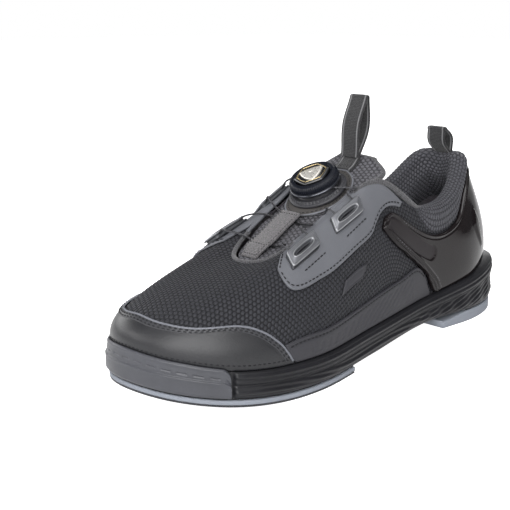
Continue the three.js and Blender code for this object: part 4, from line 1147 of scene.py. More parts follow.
flat = p_.reshape(-1, 3)
d_front = np.minimum(distance_to(flat, front_line[0]), distance_to(flat, front_line[1])).reshape(T_.shape)
d_top = distance_to(flat, top_line).reshape(T_.shape)
d_edge = np.minimum(d_front, d_top)
relief = np.zeros_like(d_edge)
# two raised beads along the front edge and its tip, one bead along the top
relief += 1.1 * np.exp(-((d_front - 1.3) / 0.7) ** 2) - 0.45 * np.exp(-((d_front - 2.9) / 0.5) ** 2)
relief += 0.45 * np.exp(-((d_front - 4.2) / 0.7) ** 2) * smooth(np.abs(T_), 2.3, 2.9)
relief += 0.75 * np.exp(-((d_top - 1.2) / 0.7) ** 2) - 0.35 * np.exp(-((d_top - 2.6) / 0.5) ** 2)
# a blank recessed panel along each arm
arm = [[2.86, 0.5], [3.1, 0.585], [3.4, 0.65], [3.72, 0.69]]
for s in (1, -1):
    line = over(*(spline([[t * s, v] for t, v in arm], 160).T), 0.0)
    da = distance_to(flat, line).reshape(T_.shape)
    relief -= 0.55 * smooth(5.2 - da, 0, 0.9)
    # a teardrop ridge beside it
    drop = spline([[s * 1.52, 0.62], [s * 1.6, 0.5], [s * 1.66, 0.34], [s * 1.62, 0.17]], 60)
    dline = over(*(drop.T), 0.0)
    prof = np.interp(np.linspace(0, 1, 60), [0, 0.35, 0.75, 1], [1.2, 5.4, 2.2, 0.4])
    hump = np.zeros(flat.shape[0])
    for q, r in zip(dline, prof):
        dd = np.sqrt(((flat - q) ** 2).sum(1))
        hump = np.maximum(hump, np.clip(1 - dd / r, 0, 1) * min(r / 4, 1))
    relief += 1.15 * smooth(hump.reshape(T_.shape), 0.0, 0.5)
# a soft vertical rib down the middle of the heel
relief += 0.5 * np.exp(-((T_ * 22) / 3.4) ** 2) * smooth(d_top, 4, 12)
counter.build("heel_counter_shell", COUNTER_LIFT, COUNTER_LIFT + COUNTER - 0.35, M["counter"], "upper",
              ("heel_counter",), relief)
shell = bpy.data.objects["heel_counter_shell"]
shell.data.materials.append(M["counter_matt"])
nu_, nv_ = T_.shape
matt = np.zeros(T_.shape, bool)
for s in (1, -1):
    line = over(*(spline([[t * s, v] for t, v in arm], 160).T), 0.0)
    matt |= distance_to(flat, line).reshape(T_.shape) < 4.7
matt = matt.ravel()
for f in shell.data.polygons:
    if all(i < nu_ * nv_ and matt[i] for i in f.vertices):
        f.material_index = 1
rows = []
for s in (1, -1):
    front_row = [[2.66, 0.05], [2.76, 0.19], [2.98, 0.385], [3.24, 0.51], [3.6, 0.6]]
    top_row = [[0.3, 0.872], [0.9, 0.862], [1.6, 0.83], [2.1, 0.715], [2.6, 0.675], [3.1, 0.735], [3.5, 0.748]]
    for points, n in ((front_row, 160), (top_row, 200)):
        rows.append(row_of(spline([[s * t, v] for t, v in points], n), COUNTER_LIFT + COUNTER - 0.5))
stitches("heel_counter_stitching", rows, M["grey_thread"], "upper", 1.6, 2.6, 0.5, 0.4)

# ------------------------------------------------------------------ side badge, blank
badge = Panel([[4.12, 0.44], [4.35, 0.425], [4.58, 0.405]], [[4.2, 0.365], [4.4, 0.35], [4.63, 0.33]], 60,
              0.8, 0.8, 0.5)
lip = 0.22 * np.exp(-((badge.border - 0.9) / 0.4) ** 2) + 0.12 * smooth(badge.border, 2.2, 2.8)
badge.build("side_badge_film", LIFT - 0.25, LIFT + 0.4, M["mudguard"], "upper", ("side_badge",),
            lip)

# ------------------------------------------------------------------ collar binding
nt = 620
T = np.linspace(-4.7, 4.7, nt)
prof = [(0.968, 0.15), (0.968, 0.55), (0.972, 0.95), (0.98, 1.3), (0.988, 1.42), (0.995, 1.35), (1.0, 0.9),
        (1.0, 0.2), (0.985, 0.1)]
V = np.array([a for a, _ in prof])
H = np.array([b for _, b in prof])
TT, VV = np.meshgrid(T, V, indexing="ij")
HH = np.broadcast_to(H, TT.shape).copy()
line = last(T, 0.985)
s = distances(line)
fade = np.minimum(smooth(s, 0, 3), smooth(s[-1] - s, 0, 3))
HH[:, 1:8] += (0.16 * np.sin(s * 2 * math.pi / 1.7))[:, None] * fade[:, None]
HH = np.where(HH > 0.3, 0.3 + (HH - 0.3) * (0.35 + 0.65 * fade[:, None]), HH)
# low under the padded roll round the heel, wide and full where it runs beside the eyestay
front = smooth(np.abs(T), 3.05, 3.5)[:, None]
HH = np.where(HH > 0.3, HH * (0.3 + 0.7 * front) + 0.95 * front * fade[:, None], HH)
VV = 1 - (1 - VV) * (1 + 0.7 * front * fade[:, None])
P = over(TT, VV, HH)
uv = np.stack(np.meshgrid(s, np.linspace(0, 4.5, len(V)), indexing="ij"), -1)
fix_normals(make("collar_binding_knit", P.reshape(-1, 3), capped(nt, len(V)), M["binding"], "upper",
                 uv.reshape(-1, 2), replaces=("collar_binding",)))

# ------------------------------------------------------------------ padded collar
LINING_TOP = -(MESH + GAP + 1.2) - GAP
PAD_END = 3.5
LINING_END = 0.56


def pad_inside(t, v):
    swell = 1.2 + (9 - 1.2) * smooth(v, 0.35, 0.8) * (1 - 0.55 * smooth(v, 0.85, 1))
    fade = 1 - smooth(np.abs(t), 2.9, 3.5) * 0.75
    return LINING_TOP - 1.2 - (swell - 1.2) * fade


def build_padding():
    nt = 720
    T = np.linspace(-PAD_END, PAD_END, nt)
    inner_v = np.concatenate([np.linspace(0.07, 0.5, 30), np.linspace(0.51, 0.985, 74)])
    w = np.linspace(0, 1, 26)[1:]
    roll = np.linspace(0, 1, 44)[1:]
    rows = len(inner_v) + len(w) + len(roll) + 4
    # outside, the padding rolls over down to the counter's top edge
    rim_t, rim_v = spline(COUNTER_TOP[:-1], 200).T
    back = 1 - smooth(np.abs(T), 2.75, 3.35)
    v_low = 0.966 + (np.interp(np.abs(T), rim_t, rim_v) + 0.016 - 0.966) * back
    bulge = 2.9 * back
    P = np.zeros((nt, rows, 3))
    TT, VV = np.meshgrid(T, inner_v, indexing="ij")
    H = pad_inside(TT, VV)
    # a soft swelling between the seams that hold the padding
    H = H - 0.9 * smooth(VV, 0.55, 0.75) * (0.5 + 0.5 * np.cos(TT * 2.4)) * (1 - smooth(np.abs(TT), 2.6, 3.4))
    P[:, : len(inner_v)] = over(TT, VV, H)
    # over the top of the collar, from the inside to the outside
    edge_in = over(T, 0.985, pad_inside(T, 0.985))
    edge_out = over(T, 0.972, 0.25 + bulge)
    up = unit(last(T, 1.0) - last(T, 0.96))
    rise = 4.2 * (1 - smooth(np.abs(T), 2.7, 3.45) * 0.75)
    for k, a in enumerate(w):
        c, s = math.cos(math.pi * a), math.sin(math.pi * a)
        mid = edge_in * (0.5 + 0.5 * c) + edge_out * (0.5 - 0.5 * c)
        P[:, len(inner_v) + k] = mid + up * (rise * s**0.75)[:, None]
    for k, a in enumerate(roll):
        k1 = len(inner_v) + len(w) + k
        swell = bulge * math.cos(0.5 * math.pi * a) ** 0.6
        P[:, k1] = over(T, 0.972 + (v_low - 0.972) * a, 0.25 + swell)
    k0 = len(inner_v) + len(w) + len(roll)
    P[:, k0] = over(T, v_low, 0.03)
    P[:, k0 + 1] = over(T, 0.965, 0.03)
    P[:, k0 + 2] = over(T, 0.965, LINING_TOP)
    P[:, k0 + 3] = over(T, 0.07, LINING_TOP)
    mid_row = P[:, 80]
    u = distances(mid_row)
    v = mean_distances(P)
    uv = np.stack(np.meshgrid(u, v, indexing="ij"), -1)
    # honeycomb quilting stands out of the cloth
    e1 = np.gradient(P, axis=0)
    e2 = np.gradient(P, axis=1)
    N = unit(np.cross(e2, e1))
    centre = over(T, 0.75, -4)[:, None]
    flip = np.sign(((P[:, 40:60] - centre) * N[:, 40:60]).sum(-1).mean())
    N *= flip
    dome = (hex_dome(uv, 2.5) - 0.5) * 0.4
    dome[:, : np.searchsorted(inner_v, LINING_END) + 1] = 0
    dome[:, :8] = 0
    dome[:, k0 - 2:] = 0
    P = P + N * dome[..., None]
    ob = make("collar_padding", P.reshape(-1, 3), capped(nt, rows), M["padding"], "upper", uv.reshape(-1, 2),
              replaces=("lateral_collar_pad", "medial_collar_pad"))
    fix_normals(ob)
    # smooth lining below the quilted knit, inside
    ob.data.materials.append(M["lining"])
    last_row = int(np.searchsorted(inner_v, LINING_END))
    for f in ob.data.polygons:
        if all(i % rows <= last_row for i in f.vertices):
            f.material_index = 1


build_padding()


def slab(name, top, under, uv, material, body, replaces=()):
    """A flat piece between a grid of points on top and one underneath."""
    ob = make(name, np.concatenate([top.reshape(-1, 3), under.reshape(-1, 3)]), slab_faces(*top.shape[:2]),
              material, body, np.concatenate([uv.reshape(-1, 2)] * 2), replaces=replaces)
    return fix_normals(ob)


def sheet_on_last(name, t0, t1, v0, v1, low, high, material, node, nt=260, nv=60):
    T, V = np.meshgrid(np.linspace(t0, t1, nt), np.linspace(v0, v1, nv), indexing="ij")
    wrinkle = 0.12 * np.sin(T * 9 + V * 7) * np.sin(V * 15)
    top, under = over(T, V, high + wrinkle), over(T, V, low + wrinkle)
    return slab(name, top, under, arc_uv(top), material, "upper", (node,))


sheet_on_last("vamp_lining_cloth", 3.75, 12.25, 0.06, 0.9, LINING_TOP - 1.2, LINING_TOP, M["lining"],
              "vamp_lining")


# ------------------------------------------------------------------ insole
def even_t(t0, t1, n, inset=0.0):
    """Stations evenly spaced along the sole's edge."""
    t = np.linspace(t0, t1, 900)
    p = edge(t, inset, 0)
    s = distances(p)
    return np.interp(np.linspace(0, s[-1], n), s, t)


def feather_inset(t, inset):
    p = ring(F, t)
    d = ring(F, t + 0.01) - ring(F, t - 0.01)
    n = unit(np.stack([-d[..., 1], d[..., 0], np.zeros_like(d[..., 0])], -1))
    return p - n * inset


def build_insole():
    n, m = 240, 40
    t = even_t(0.02, 7.98, n)
    inset = MESH + 1.2 + 1.2 + 2 * GAP + GAP + 0.8 + 0.6
    A, B = feather_inset(t, inset), feather_inset(STATIONS - t, inset)
    q = np.linspace(-1, 1, m)
    q = np.sign(q) * (1 - (1 - np.abs(q)) ** 1.5)
    f = (q[None, :, None] + 1) / 2
    base = A[:, None] * (1 - f) + B[:, None] * f
    base[..., 2] = ((A + B) / 2)[:, None, 2]
    half = np.linalg.norm(A - B, axis=1)[:, None] / 2
    rim = half * (1 - np.abs(q))[None]
    along = np.minimum(t[:, None], 8 - t[:, None]) * 26
    rr = roundover(np.minimum(rim, along) + 0.05, 1.6)
    top = base.copy()
    dish = 0.9 * smooth(np.minimum(rim, along), 3, 20)
    top[..., 2] += 1.8 + 4.0 * (0.35 + 0.65 * rr) - dish
    low = base.copy()
    low[..., 2] += 1.8
    ob = slab("insole_foam", top, low, base[..., :2], M["insole"], "upper", ("insole",))


build_insole()

# ------------------------------------------------------------------ tongue
TONGUE_X = [219.5, 205, 190, 175, 160, 145, 133, 126]
TONGUE_Z = [64, 69.5, 78, 86.5, 95, 103, 109.5, 115]
_tp = np.stack([TONGUE_X, np.zeros(8), TONGUE_Z], 1).astype(float)
_tq = np.concatenate([2 * _tp[:1] - _tp[1:2], _tp, 2 * _tp[-1:] - _tp[-2:-1]])


def tongue_point(s):
    s = np.asarray(s, float)
    w = s * 7
    i = np.clip(np.floor(w).astype(int), 0, 6)
    w = (w - i)[..., None]
    a, b, c, d = (_tq[i + k] for k in range(4))
    v0, v1 = (c - a) * 0.5, (d - b) * 0.5
    return (2 * b - 2 * c + v0 + v1) * w**3 + (-3 * b + 3 * c - 2 * v0 - v1) * w**2 + v0 * w + b


def tongue_up(s):
    e = 1e-3
    d = unit(tongue_point(np.asarray(s) + e) - tongue_point(np.asarray(s) - e))
    return np.stack([d[..., 2], np.zeros_like(d[..., 0]), -d[..., 0]], -1)


def tongue_fall(s):
    s = np.asarray(s, float)
    a = 0.009 + (0.0055 - 0.009) * smooth(s, 0.1, DIAL_AT - 0.15)
    b = 0.0055 + (0.008 - 0.0055) * smooth(s, DIAL_AT + 0.15, 1)
    return np.where(s < DIAL_AT, a, b)


def on_tongue(s, y, h):
    s, y, h = np.broadcast_arrays(np.asarray(s, float), np.asarray(y, float), np.asarray(h, float))
    p = tongue_point(s) + tongue_up(s) * (h - tongue_fall(s) * y * y)[..., None]
    p[..., 1] = y
    return p


_mt = np.linspace(4, 8, 1200)
_mr = ring(S, _mt)


def throat_half(x):
    return np.interp(x, _mr[:, 0], _mr[:, 1])


def tongue_half(s):
    x = tongue_point(s)[..., 0] + 1.2
    half = np.where(x < _mr[0, 0], 24.0, np.minimum(throat_half(x) - 1.2, 24.0))
    return np.maximum(half, 3) * (1 - 0.45 * smooth(s, 0.86, 1))


def tongue_thickness(s, q):
    return 7 * (0.45 + 0.55 * smooth(s, 0, 0.5)) * np.sqrt(1 - 0.75 * q * q) * (1 - 0.4 * smooth(s, 0.9, 1))


def arc_across(P):
    """uv for a grid of sections: along the middle line, and across each section from its middle."""
    m = P.shape[1] // 2
    u = distances(P[:, m])
    w = np.concatenate([np.zeros((len(P), 1)), np.cumsum(np.linalg.norm(np.diff(P, axis=1), axis=2), 1)], 1)
    w = w - w[:, m : m + 1]
    return np.stack([np.broadcast_to(u[:, None], w.shape), w], -1)


def build_tongue():
    n, m = 300, 141
    s = np.linspace(-0.012, 1, n)
    q = np.linspace(-1, 1, m)
    S_, Q = np.meshgrid(s, q, indexing="ij")
    half = tongue_half(s)[:, None]
    Y = half * Q
    th = tongue_thickness(S_, Q)
    end = roundover((1 - S_) * 120 + 0.05, 3.0) * roundover((S_ + 0.012) * 120 + 0.05, 1.5)
    rimmed = 1 - (1 - np.clip(1 - Q**10, 0, 1) ** 0.5) * 0.55
    H = -th * 0.5 * (1 - end * rimmed)
    # in front of the patch the padding stands nearly level with the throat's rim
    H = H + 0.6 * tongue_fall(S_) * Y * Y * (1 - smooth(S_, 0.3, 0.37))
    P = on_tongue(S_, Y, H)
    uv = arc_across(P)
    uv[..., 0] -= 219.5
    dome = (hex_dome(uv, 3.0) - 0.5) * 0.4
    seam = -0.5 * np.exp(-(((half - np.abs(Y)) - 3.4) / 0.7) ** 2) * smooth(S_, 0.6, 0.7)
    hide = np.minimum(1, np.minimum(1 - np.abs(Q), 1 - S_) * 30)
    P = on_tongue(S_, Y, H + dome * hide + seam * hide)
    low = on_tongue(S_, Y, -th * (0.5 + 0.5 * end))
    ob = slab("tongue_padding", P, low, uv, M["tongue"], "tongue", ("tongue",))
    # knitted tape round the tongue's edge
    ss = np.linspace(0.5, 0.985, 120)
    side = on_tongue(ss, tongue_half(ss) - 0.2, -tongue_thickness(ss, 1.0) * 0.45)
    other = side * np.array([1, -1, 1])
    across = on_tongue(0.992, np.linspace(1, -1, 60) * tongue_half(0.985) * 0.97, -1.6)
    line = even(np.concatenate([side, across, other[::-1]]), 260)
    tube("tongue_edge_tape", line, 1.5, M["binding"], "tongue", 12)


build_tongue()


def tongue_strip(name, s0, s1, half, low, high, material, body="tongue", n=120, m=28, replaces=(),
                 radius=0.5):
    """A flat piece lying along the tongue; half, low and high may depend on s."""
    s = np.linspace(s0, s1, n)
    q = np.sin(np.linspace(-1, 1, m) * math.pi / 2)
    S_, Q = np.meshgrid(s, q, indexing="ij")
    hw = np.array([half(x) for x in s])[:, None]
    Y = hw * Q
    lo, hi = (np.array([f(x) for x in s])[:, None] for f in (low, high))
    length = np.linalg.norm(tongue_point(s1) - tongue_point(s0))
    ends = np.minimum(S_ - s0, s1 - S_) / (s1 - s0) * length
    r = roundover(np.minimum(hw * (1 - np.abs(Q)), ends) + 0.03, radius)
    top = on_tongue(S_, Y, lo + (hi - lo) * (0.3 + 0.7 * r))
    under = on_tongue(S_, Y, lo + 0 * Q)
    return slab(name, top, under, arc_across(top), material, body, replaces)


# gussets close the gap beside the tongue
def build_gusset(sign, name, node):
    n, m = 80, 16
    s = np.linspace(0.2, 0.62, n)
    y0 = tongue_half(s) - 3
    S_, Q = np.meshgrid(s, np.linspace(0, 1, m), indexing="ij")
    Y = (y0[:, None] + 5 * Q) * sign
    fold = 0.45 * np.sin(Q * math.pi) * (1 + 0.5 * np.sin(S_ * 70))
    top = on_tongue(S_, Y, -6.6 + fold * 0.4)
    low = on_tongue(S_, Y, -7.4 + fold * 0.4)
    ob = slab(name, top, low, arc_uv(top), M["lining"], None, (node,))
    tuple(row(tongue_point(0.2)))
    tuple(row(tongue_point(0.62)))
    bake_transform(ob)


build_gusset(1, "lateral_gusset_cloth", "lateral_gusset")
build_gusset(-1, "medial_gusset_cloth", "medial_gusset")

# ------------------------------------------------------------------ patch under the dial
PATCH_HALF_LENGTH, PATCH = 0.195, 1.1


def patch_half(x):
    q = (x - DIAL_AT) / (PATCH_HALF_LENGTH + 0.005)
    return min(19.5, float(tongue_half(DIAL_AT))) * math.sqrt(max(1 - q * q, 0.1))


tongue_strip("dial_patch_leather", DIAL_AT - PATCH_HALF_LENGTH, DIAL_AT + PATCH_HALF_LENGTH, patch_half,
             lambda s: GAP, lambda s: GAP + PATCH, M["patch"], n=150, m=60, replaces=("dial_patch",),
             radius=0.9)


def patch_ring(inset, h):
    s = np.linspace(DIAL_AT - PATCH_HALF_LENGTH, DIAL_AT + PATCH_HALF_LENGTH, 90)
    k = 1 - inset / 21
    ss = DIAL_AT + (s - DIAL_AT) * k
    hw = np.array([patch_half(x) for x in s]) - inset
    a = on_tongue(ss, hw, h)
    b = on_tongue(ss[::-1], -hw[::-1], h)
    cross_a = on_tongue(np.full(12, ss[-1]), np.linspace(hw[-1], -hw[-1], 14)[1:-1], h)
    cross_b = on_tongue(np.full(12, ss[0]), np.linspace(-hw[0], hw[0], 14)[1:-1], h)
    p = np.concatenate([a, cross_a, b, cross_b])
    p = even(np.concatenate([p, p[:1]]), 220)
    up = np.broadcast_to(tongue_up(DIAL_AT), p.shape)
    return p, up


stitches("dial_patch_stitching", [patch_ring(1.8, GAP + PATCH - 0.05)], M["thread"], "tongue",
         1.8, 2.7, 0.55, 0.4)
tube("dial_patch_edge", patch_ring(0.4, GAP + 0.75)[0], 0.6, M["fold"], "tongue", 8)

# ------------------------------------------------------------------ strap and its stitching
STRAP_FRONT = 0.024


def strap_low(x):
    """The strap lies on the tongue in front and rises over the crossing laces."""
    return GAP + 0.25 + 3.1 * float(smooth(x, 0.02, 0.1))


def strap_half(x):
    return 7.6 - 1.8 * (1 - float(smooth(x, STRAP_FRONT, 0.09)))


tongue_strip("tongue_strap_webbing", STRAP_FRONT, 0.372, strap_half, strap_low, lambda x: strap_low(x) + 1.2,
             M["strap"], n=200, replaces=("tongue_strap",), radius=0.6)
rows = []
for side in (-1, 1):
    s = np.linspace(0.036, 0.36, 100)
    y = side * np.array([strap_half(x) - 1.2 for x in s])
    rows.append((on_tongue(s, y, np.array([strap_low(x) for x in s]) + 1.12), tongue_up(s)))
for s0 in (0.038, 0.11, 0.35):
    y = np.linspace(1.5 - strap_half(s0), strap_half(s0) - 1.5, 14)
    rows.append((on_tongue(s0, y, strap_low(s0) + 1.12), np.broadcast_to(tongue_up(s0), (14, 3))))
stitches("tongue_strap_stitching", rows, M["thread"], "tongue", 1.4, 2.1, 0.5, 0.36)

# ------------------------------------------------------------------ dial
DIAL_P = tongue_point(DIAL_AT) + tongue_up(DIAL_AT) * (PATCH + 3 * GAP)
DIAL_Z = tongue_up(DIAL_AT)
DIAL_Y = np.array([0.0, 1.0, 0.0])
DIAL_X = np.cross(DIAL_Y, DIAL_Z)


def dial_place(local):
    local = np.asarray(local, float)
    return DIAL_P + local[..., 0:1] * DIAL_X + local[..., 1:2] * DIAL_Y + local[..., 2:3] * DIAL_Z


def turned(name, profile, material, body, n=144, radial=None, replaces=()):
    """A closed profile of (r, z) turned round the dial's axis; radial(angle, r, z) changes r."""
    w = np.arange(n) / n * 2 * math.pi
    r, z = np.array([p[0] for p in profile], float), np.array([p[1] for p in profile], float)
    R = np.broadcast_to(r, (n, len(r))).copy()
    Z = np.broadcast_to(z, (n, len(r))).copy()
    if radial:
        R, Z = radial(w[:, None], R, Z)
    local = np.stack([R * np.cos(w)[:, None], R * np.sin(w)[:, None], Z], -1)
    round_, up = (w * r.max())[:, None], np.cumsum(np.abs(z))
    uv = np.stack([np.broadcast_to(round_, R.shape), np.broadcast_to(up, R.shape)], -1)
    ob = make(name, dial_place(local).reshape(-1, 3), quads(n, len(r), True, True), material, body,
              uv.reshape(-1, 2), replaces=replaces)
    return fix_normals(ob)


def teeth(count, depth, low, high, r_from):
    """Cuts flat-topped teeth between two heights, outside a radius."""

    def cut(w, R, Z):
        inside = (Z > low) & (Z < high) & (R > r_from)
        wave = np.sin(w * count)
        return R - depth * (0.5 - 0.5 * np.clip(wave * 1.8, -1, 1)) * inside, Z

    return cut


turned("dial_housing", [(1.6, -0.6), (12, -0.9), (17.4, -0.9), (18, -0.4), (18, 0.5), (17.6, 0.9),
                        (16.8, 1.05), (16.7, 1.3), (16.7, 2.2), (16.4, 2.45), (15.2, 2.5), (14.6, 2.2),
                        (13.6, 1.6), (12.6, 1.6), (12.6, 6.6), (12.3, 6.8), (11.0, 6.8), (11.0, 1.5), (1.6, 1.5)],
       M["housing"], "tongue", 288, teeth(48, 0.75, 1.1, 2.5, 15.8), ("dial_base",))
# the grip: a skirt, a ring of teeth over it and a dish for the cap
turned("dial_knob_grip", [(0.01, 7.2), (13.1, 7.2), (13.1, 4.95), (13.3, 4.85), (14.5, 4.85), (15.1, 5.0),
                          (15.1, 6.5), (14.55, 6.62), (14.7, 6.8), (14.95, 7.1), (15.0, 7.6), (15.0, 8.9),
                          (14.85, 9.5), (14.45, 10.15), (13.85, 10.6), (13.0, 10.95), (12.2, 11.1),
                          (11.6, 11.15), (11.35, 11.0), (11.35, 8.6), (0.01, 8.5)],
       M["knob"], "knob", 432, teeth(72, 0.42, 6.9, 10.5, 13.9), ("dial_knob",))
turned("dial_knob_ring", [(15.05, 5.0), (15.45, 5.12), (15.62, 5.5), (15.55, 5.95), (15.3, 6.3), (15.05, 6.45)],
       M["dial_ring"], "knob")


CAP_TURN = 0.26  # radians that the cap's corners are turned from the shoe's length


def lobed(w, sides, power):
    """What r is multiplied by at an angle for a rounded polygon."""
    a = np.mod(w + CAP_TURN + math.pi / sides, 2 * math.pi / sides) - math.pi / sides
    return (math.cos(math.pi / sides) / np.cos(a)) ** power


def six_cornered(w, R, Z):
    return R * (0.15 + 0.85 * lobed(w, 6, 0.8)) * 1.06, Z


turned("dial_cap_bezel", [(0.01, 8.8), (9.6, 8.8), (9.9, 9.0), (10.3, 11.0), (10.3, 11.5), (10.0, 11.9),
                          (9.2, 12.2), (8.9, 12.2), (8.2, 11.9), (7.0, 11.75), (6.2, 11.75), (0.01, 11.75)],
       M["cap_dark"], "knob", 240, six_cornered, ("dial_cap",))
turned("dial_cap_outline", [(8.55, 12.05), (8.85, 12.2), (8.8, 12.42), (8.55, 12.5), (8.3, 12.38), (8.25, 12.1)],
       M["cap_gold"], "knob", 240, six_cornered)


def three_cornered(w, R, Z):
    """A rounded triangle whose top leans a little."""
    tilt = 0.12 * np.cos(w - 1.2) * (R / 6)
    return R * lobed(w, 3, 0.62) * 1.25, Z + np.where(Z > 11.9, tilt, 0)


turned("dial_cap_centre", [(0.01, 11.6), (6.9, 11.6), (6.95, 12.1), (6.6, 12.5), (5.6, 12.62), (2.8, 12.72),
                           (0.01, 12.78)],
       M["cap_silver"], "knob", 240, three_cornered)

# lace wound in the spool's groove, rising and falling a little
SPOOL_GROOVE = 11.0 - 0.6 - 3
WOUND_TURNS, WOUND_LACE = 2.4, 0.5
w = np.linspace(0, 2 * math.pi * WOUND_TURNS, 260)
wound = SPOOL_GROOVE + 0.95
coil = np.stack([wound * np.cos(w), wound * np.sin(w), 3.15 + 0.42 * np.sin(w / WOUND_TURNS)], -1)
tube("lace_winding", dial_place(coil), WOUND_LACE, M["lace"], "spool", 8, replaces=("lace_coil",))


# ------------------------------------------------------------------ laces
def centripetal(points):
    """The same curve as the frame's laces, through the given points."""
    p = np.asarray(points, float)
    q = np.concatenate([2 * p[:1] - p[1:2], p, 2 * p[-1:] - p[-2:-1]])
    out = []
    for i in range(len(p) - 1):
        a, b, c, d = q[i : i + 4]
        t0, t1, t2 = (max(np.linalg.norm(y - x), 1e-6) ** 0.5 for x, y in ((a, b), (b, c), (c, d)))
        m0 = ((b - a) / t0 - (c - a) / (t0 + t1) + (c - b) / t1) * t1
        m1 = ((c - b) / t1 - (d - b) / (t1 + t2) + (d - c) / t2) * t1
        w = np.linspace(0, 1, SPAN_STEPS, endpoint=i == len(p) - 2)[:, None]
        out.append((2 * b - 2 * c + m0 + m1) * w**3 + (-3 * b + 3 * c - 2 * m0 - m1) * w**2 + m0 * w + b)
    return np.concatenate(out)


CHANNEL = [(-0.8, -0.8), (-0.66, -0.2), (-0.3, 0.22), (0.3, 0.22), (0.66, -0.2), (0.8, -0.8)]
CHANNEL_REACH, CHANNEL_DEPTH, LACE_HEIGHT = 11, 12.5, 1.5
COIL_OUTER = SPOOL_GROOVE + 1.5
LACE_RADIUS = 0.55
SPAN_STEPS = 30  # points along the curve between two points of a lace's list


def over_rim(sign, t):
    return over(t if sign > 0 else STATIONS - t, 0.97, LIFT + OVERLAY + 1.1)


def channel(sign, level):
    p, x, y, z = guide_frame(sign, *GUIDE_PLACES[level])
    faces = 1 if y[1] * sign > 0 else -1
    return [p + x * (a * CHANNEL_REACH) + y * (b * CHANNEL_DEPTH * faces) + z * LACE_HEIGHT
            for a, b in CHANNEL]


def lace(side, sign):
    top_lift, low_lift = (2.5, 1.0) if sign > 0 else (1.0, 2.5)
    start = [dial_place([1, sign * (COIL_OUTER + 1), 3.7]), dial_place([0, sign * 14.6, 3.7])]
    start.append(over_rim(sign, 4.55))
    upper, lower = channel(sign, "upper"), channel(sign, "lower")
    cross = [on_tongue(0.37, sign * 8, top_lift + 0.4), on_tongue(0.35, sign * 0.35, top_lift)]
    top = start + upper + [over_rim(sign, 5.35)] + cross
    back = [on_tongue(0.35, sign * 0.35, low_lift), on_tongue(0.33, sign * 8, low_lift + 0.4)]
    back.append(over_rim(sign, 5.65))
    front = [over_rim(sign, 6.35), on_tongue(0.15, sign * 7, 1.4), on_tongue(0.14, sign * 0.35, 1.0)]
    low = back + lower + front
    for name, pts in (("top", top), ("bottom", low)):
        line = centripetal(pts)
        cut = SPAN_STEPS * 5 + SPAN_STEPS // 2  # in the middle of the guide
        for k, (part, piece) in enumerate((("rear", line[: cut + 2]), ("front", line[cut:]))):
            piece = even(piece, max(int(len(piece) / 1.2), 60))
            full = f"{side}_lace_{name}_{part}"
            ob = tube(full, piece, LACE_RADIUS, M["lace"], None, 10,
                      replaces=(f"{side}_lace_{name}",))
            # both pieces stay attached to no body; each has its transform baked into the mesh
            if k == 0:
                a, b = pts[1], pts[3]
                tuple(row(a))
                tuple(row(b))
                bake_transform(ob)
            else:
                a, b = pts[8], pts[-2]
                tuple(row(a))
                tuple(row(b))
                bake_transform(ob)


lace("lateral", 1)
lace("medial", -1)


# ------------------------------------------------------------------ pull tabs
def ribbon_loop(name, base, angle, width, height, thickness, opening, curl, body, node, web=1.2):
    """Webbing folded into a loop that stands on its base; curl bends its top along x."""
    ax = np.array([math.cos(angle), 0, -math.sin(angle)])
    az = np.array([math.sin(angle), 0, math.cos(angle)])
    ay = np.array([0.0, 1.0, 0.0])
    swell = opening / 2 + web - thickness / 2
    z = np.linspace(0, height - 2, 60)
    half = thickness / 2 + swell * np.sin(math.pi * z / height) ** 1.5
    side = np.stack([half, z], 1)
    w = np.linspace(0, 1, 16)[1:-1]
    r0 = half[-1]
    cap = np.stack([r0 * np.cos(w * math.pi), height - 2 + 2 * np.sin(w * math.pi)], 1)
    path = np.concatenate([side, cap, (side * [-1, 1])[::-1]])
    path = even(path, 150)
    d = unit(np.gradient(path, axis=0))
    nrm = np.stack([d[:, 1], -d[:, 0]], 1)
    mid = path - nrm * web / 2
    mid[:, 0] += curl * (np.clip(mid[:, 1], 0, None) / height) ** 2.2
    m = 26
    a = np.arange(m) / m * 2 * math.pi
    cy = np.sign(np.cos(a)) * np.abs(np.cos(a)) ** 0.35 * width / 2
    cn = np.sign(np.sin(a)) * np.abs(np.sin(a)) ** 0.8 * web / 2
    wide = 1 + 0.025 * np.sin(np.linspace(0, 1, 150) * math.pi * 2)
    X = mid[:, None, 0] + nrm[:, None, 0] * cn[None]
    Z = mid[:, None, 1] + nrm[:, None, 1] * cn[None]
    Y = cy[None] * wide[:, None]
    P = base + X[..., None] * ax + Y[..., None] * ay + Z[..., None] * az
    u = distances(mid)
    uv = np.stack([np.broadcast_to(u[:, None], X.shape), Y], -1)
    ob = make(name, P.reshape(-1, 3), capped(150, m), M["tab"], body, uv.reshape(-1, 2), replaces=(node,))
    fix_normals(ob)


back_rim = ring(S, 0.0)
heel_base = np.array([back_rim[0] + 3.6, 0, back_rim[2] + 1.4])
ribbon_loop("heel_tab_webbing", heel_base, 0.35, 14, 20, 2.6, 8, 2.2, "heel_tab", "heel_pull_tab")
tab_base = tongue_point(0.9) + tongue_up(0.9) * 3
ribbon_loop("tongue_tab_webbing", tab_base, -0.3, 14, 38, 2.6, 8, 3.5, "tongue_tab", "tongue_pull_tab")


def tab_rise(s):
    """The tab's foot climbs over the tongue's rear edge."""
    return 1.2 * float(smooth(s, 0.8, 0.9))


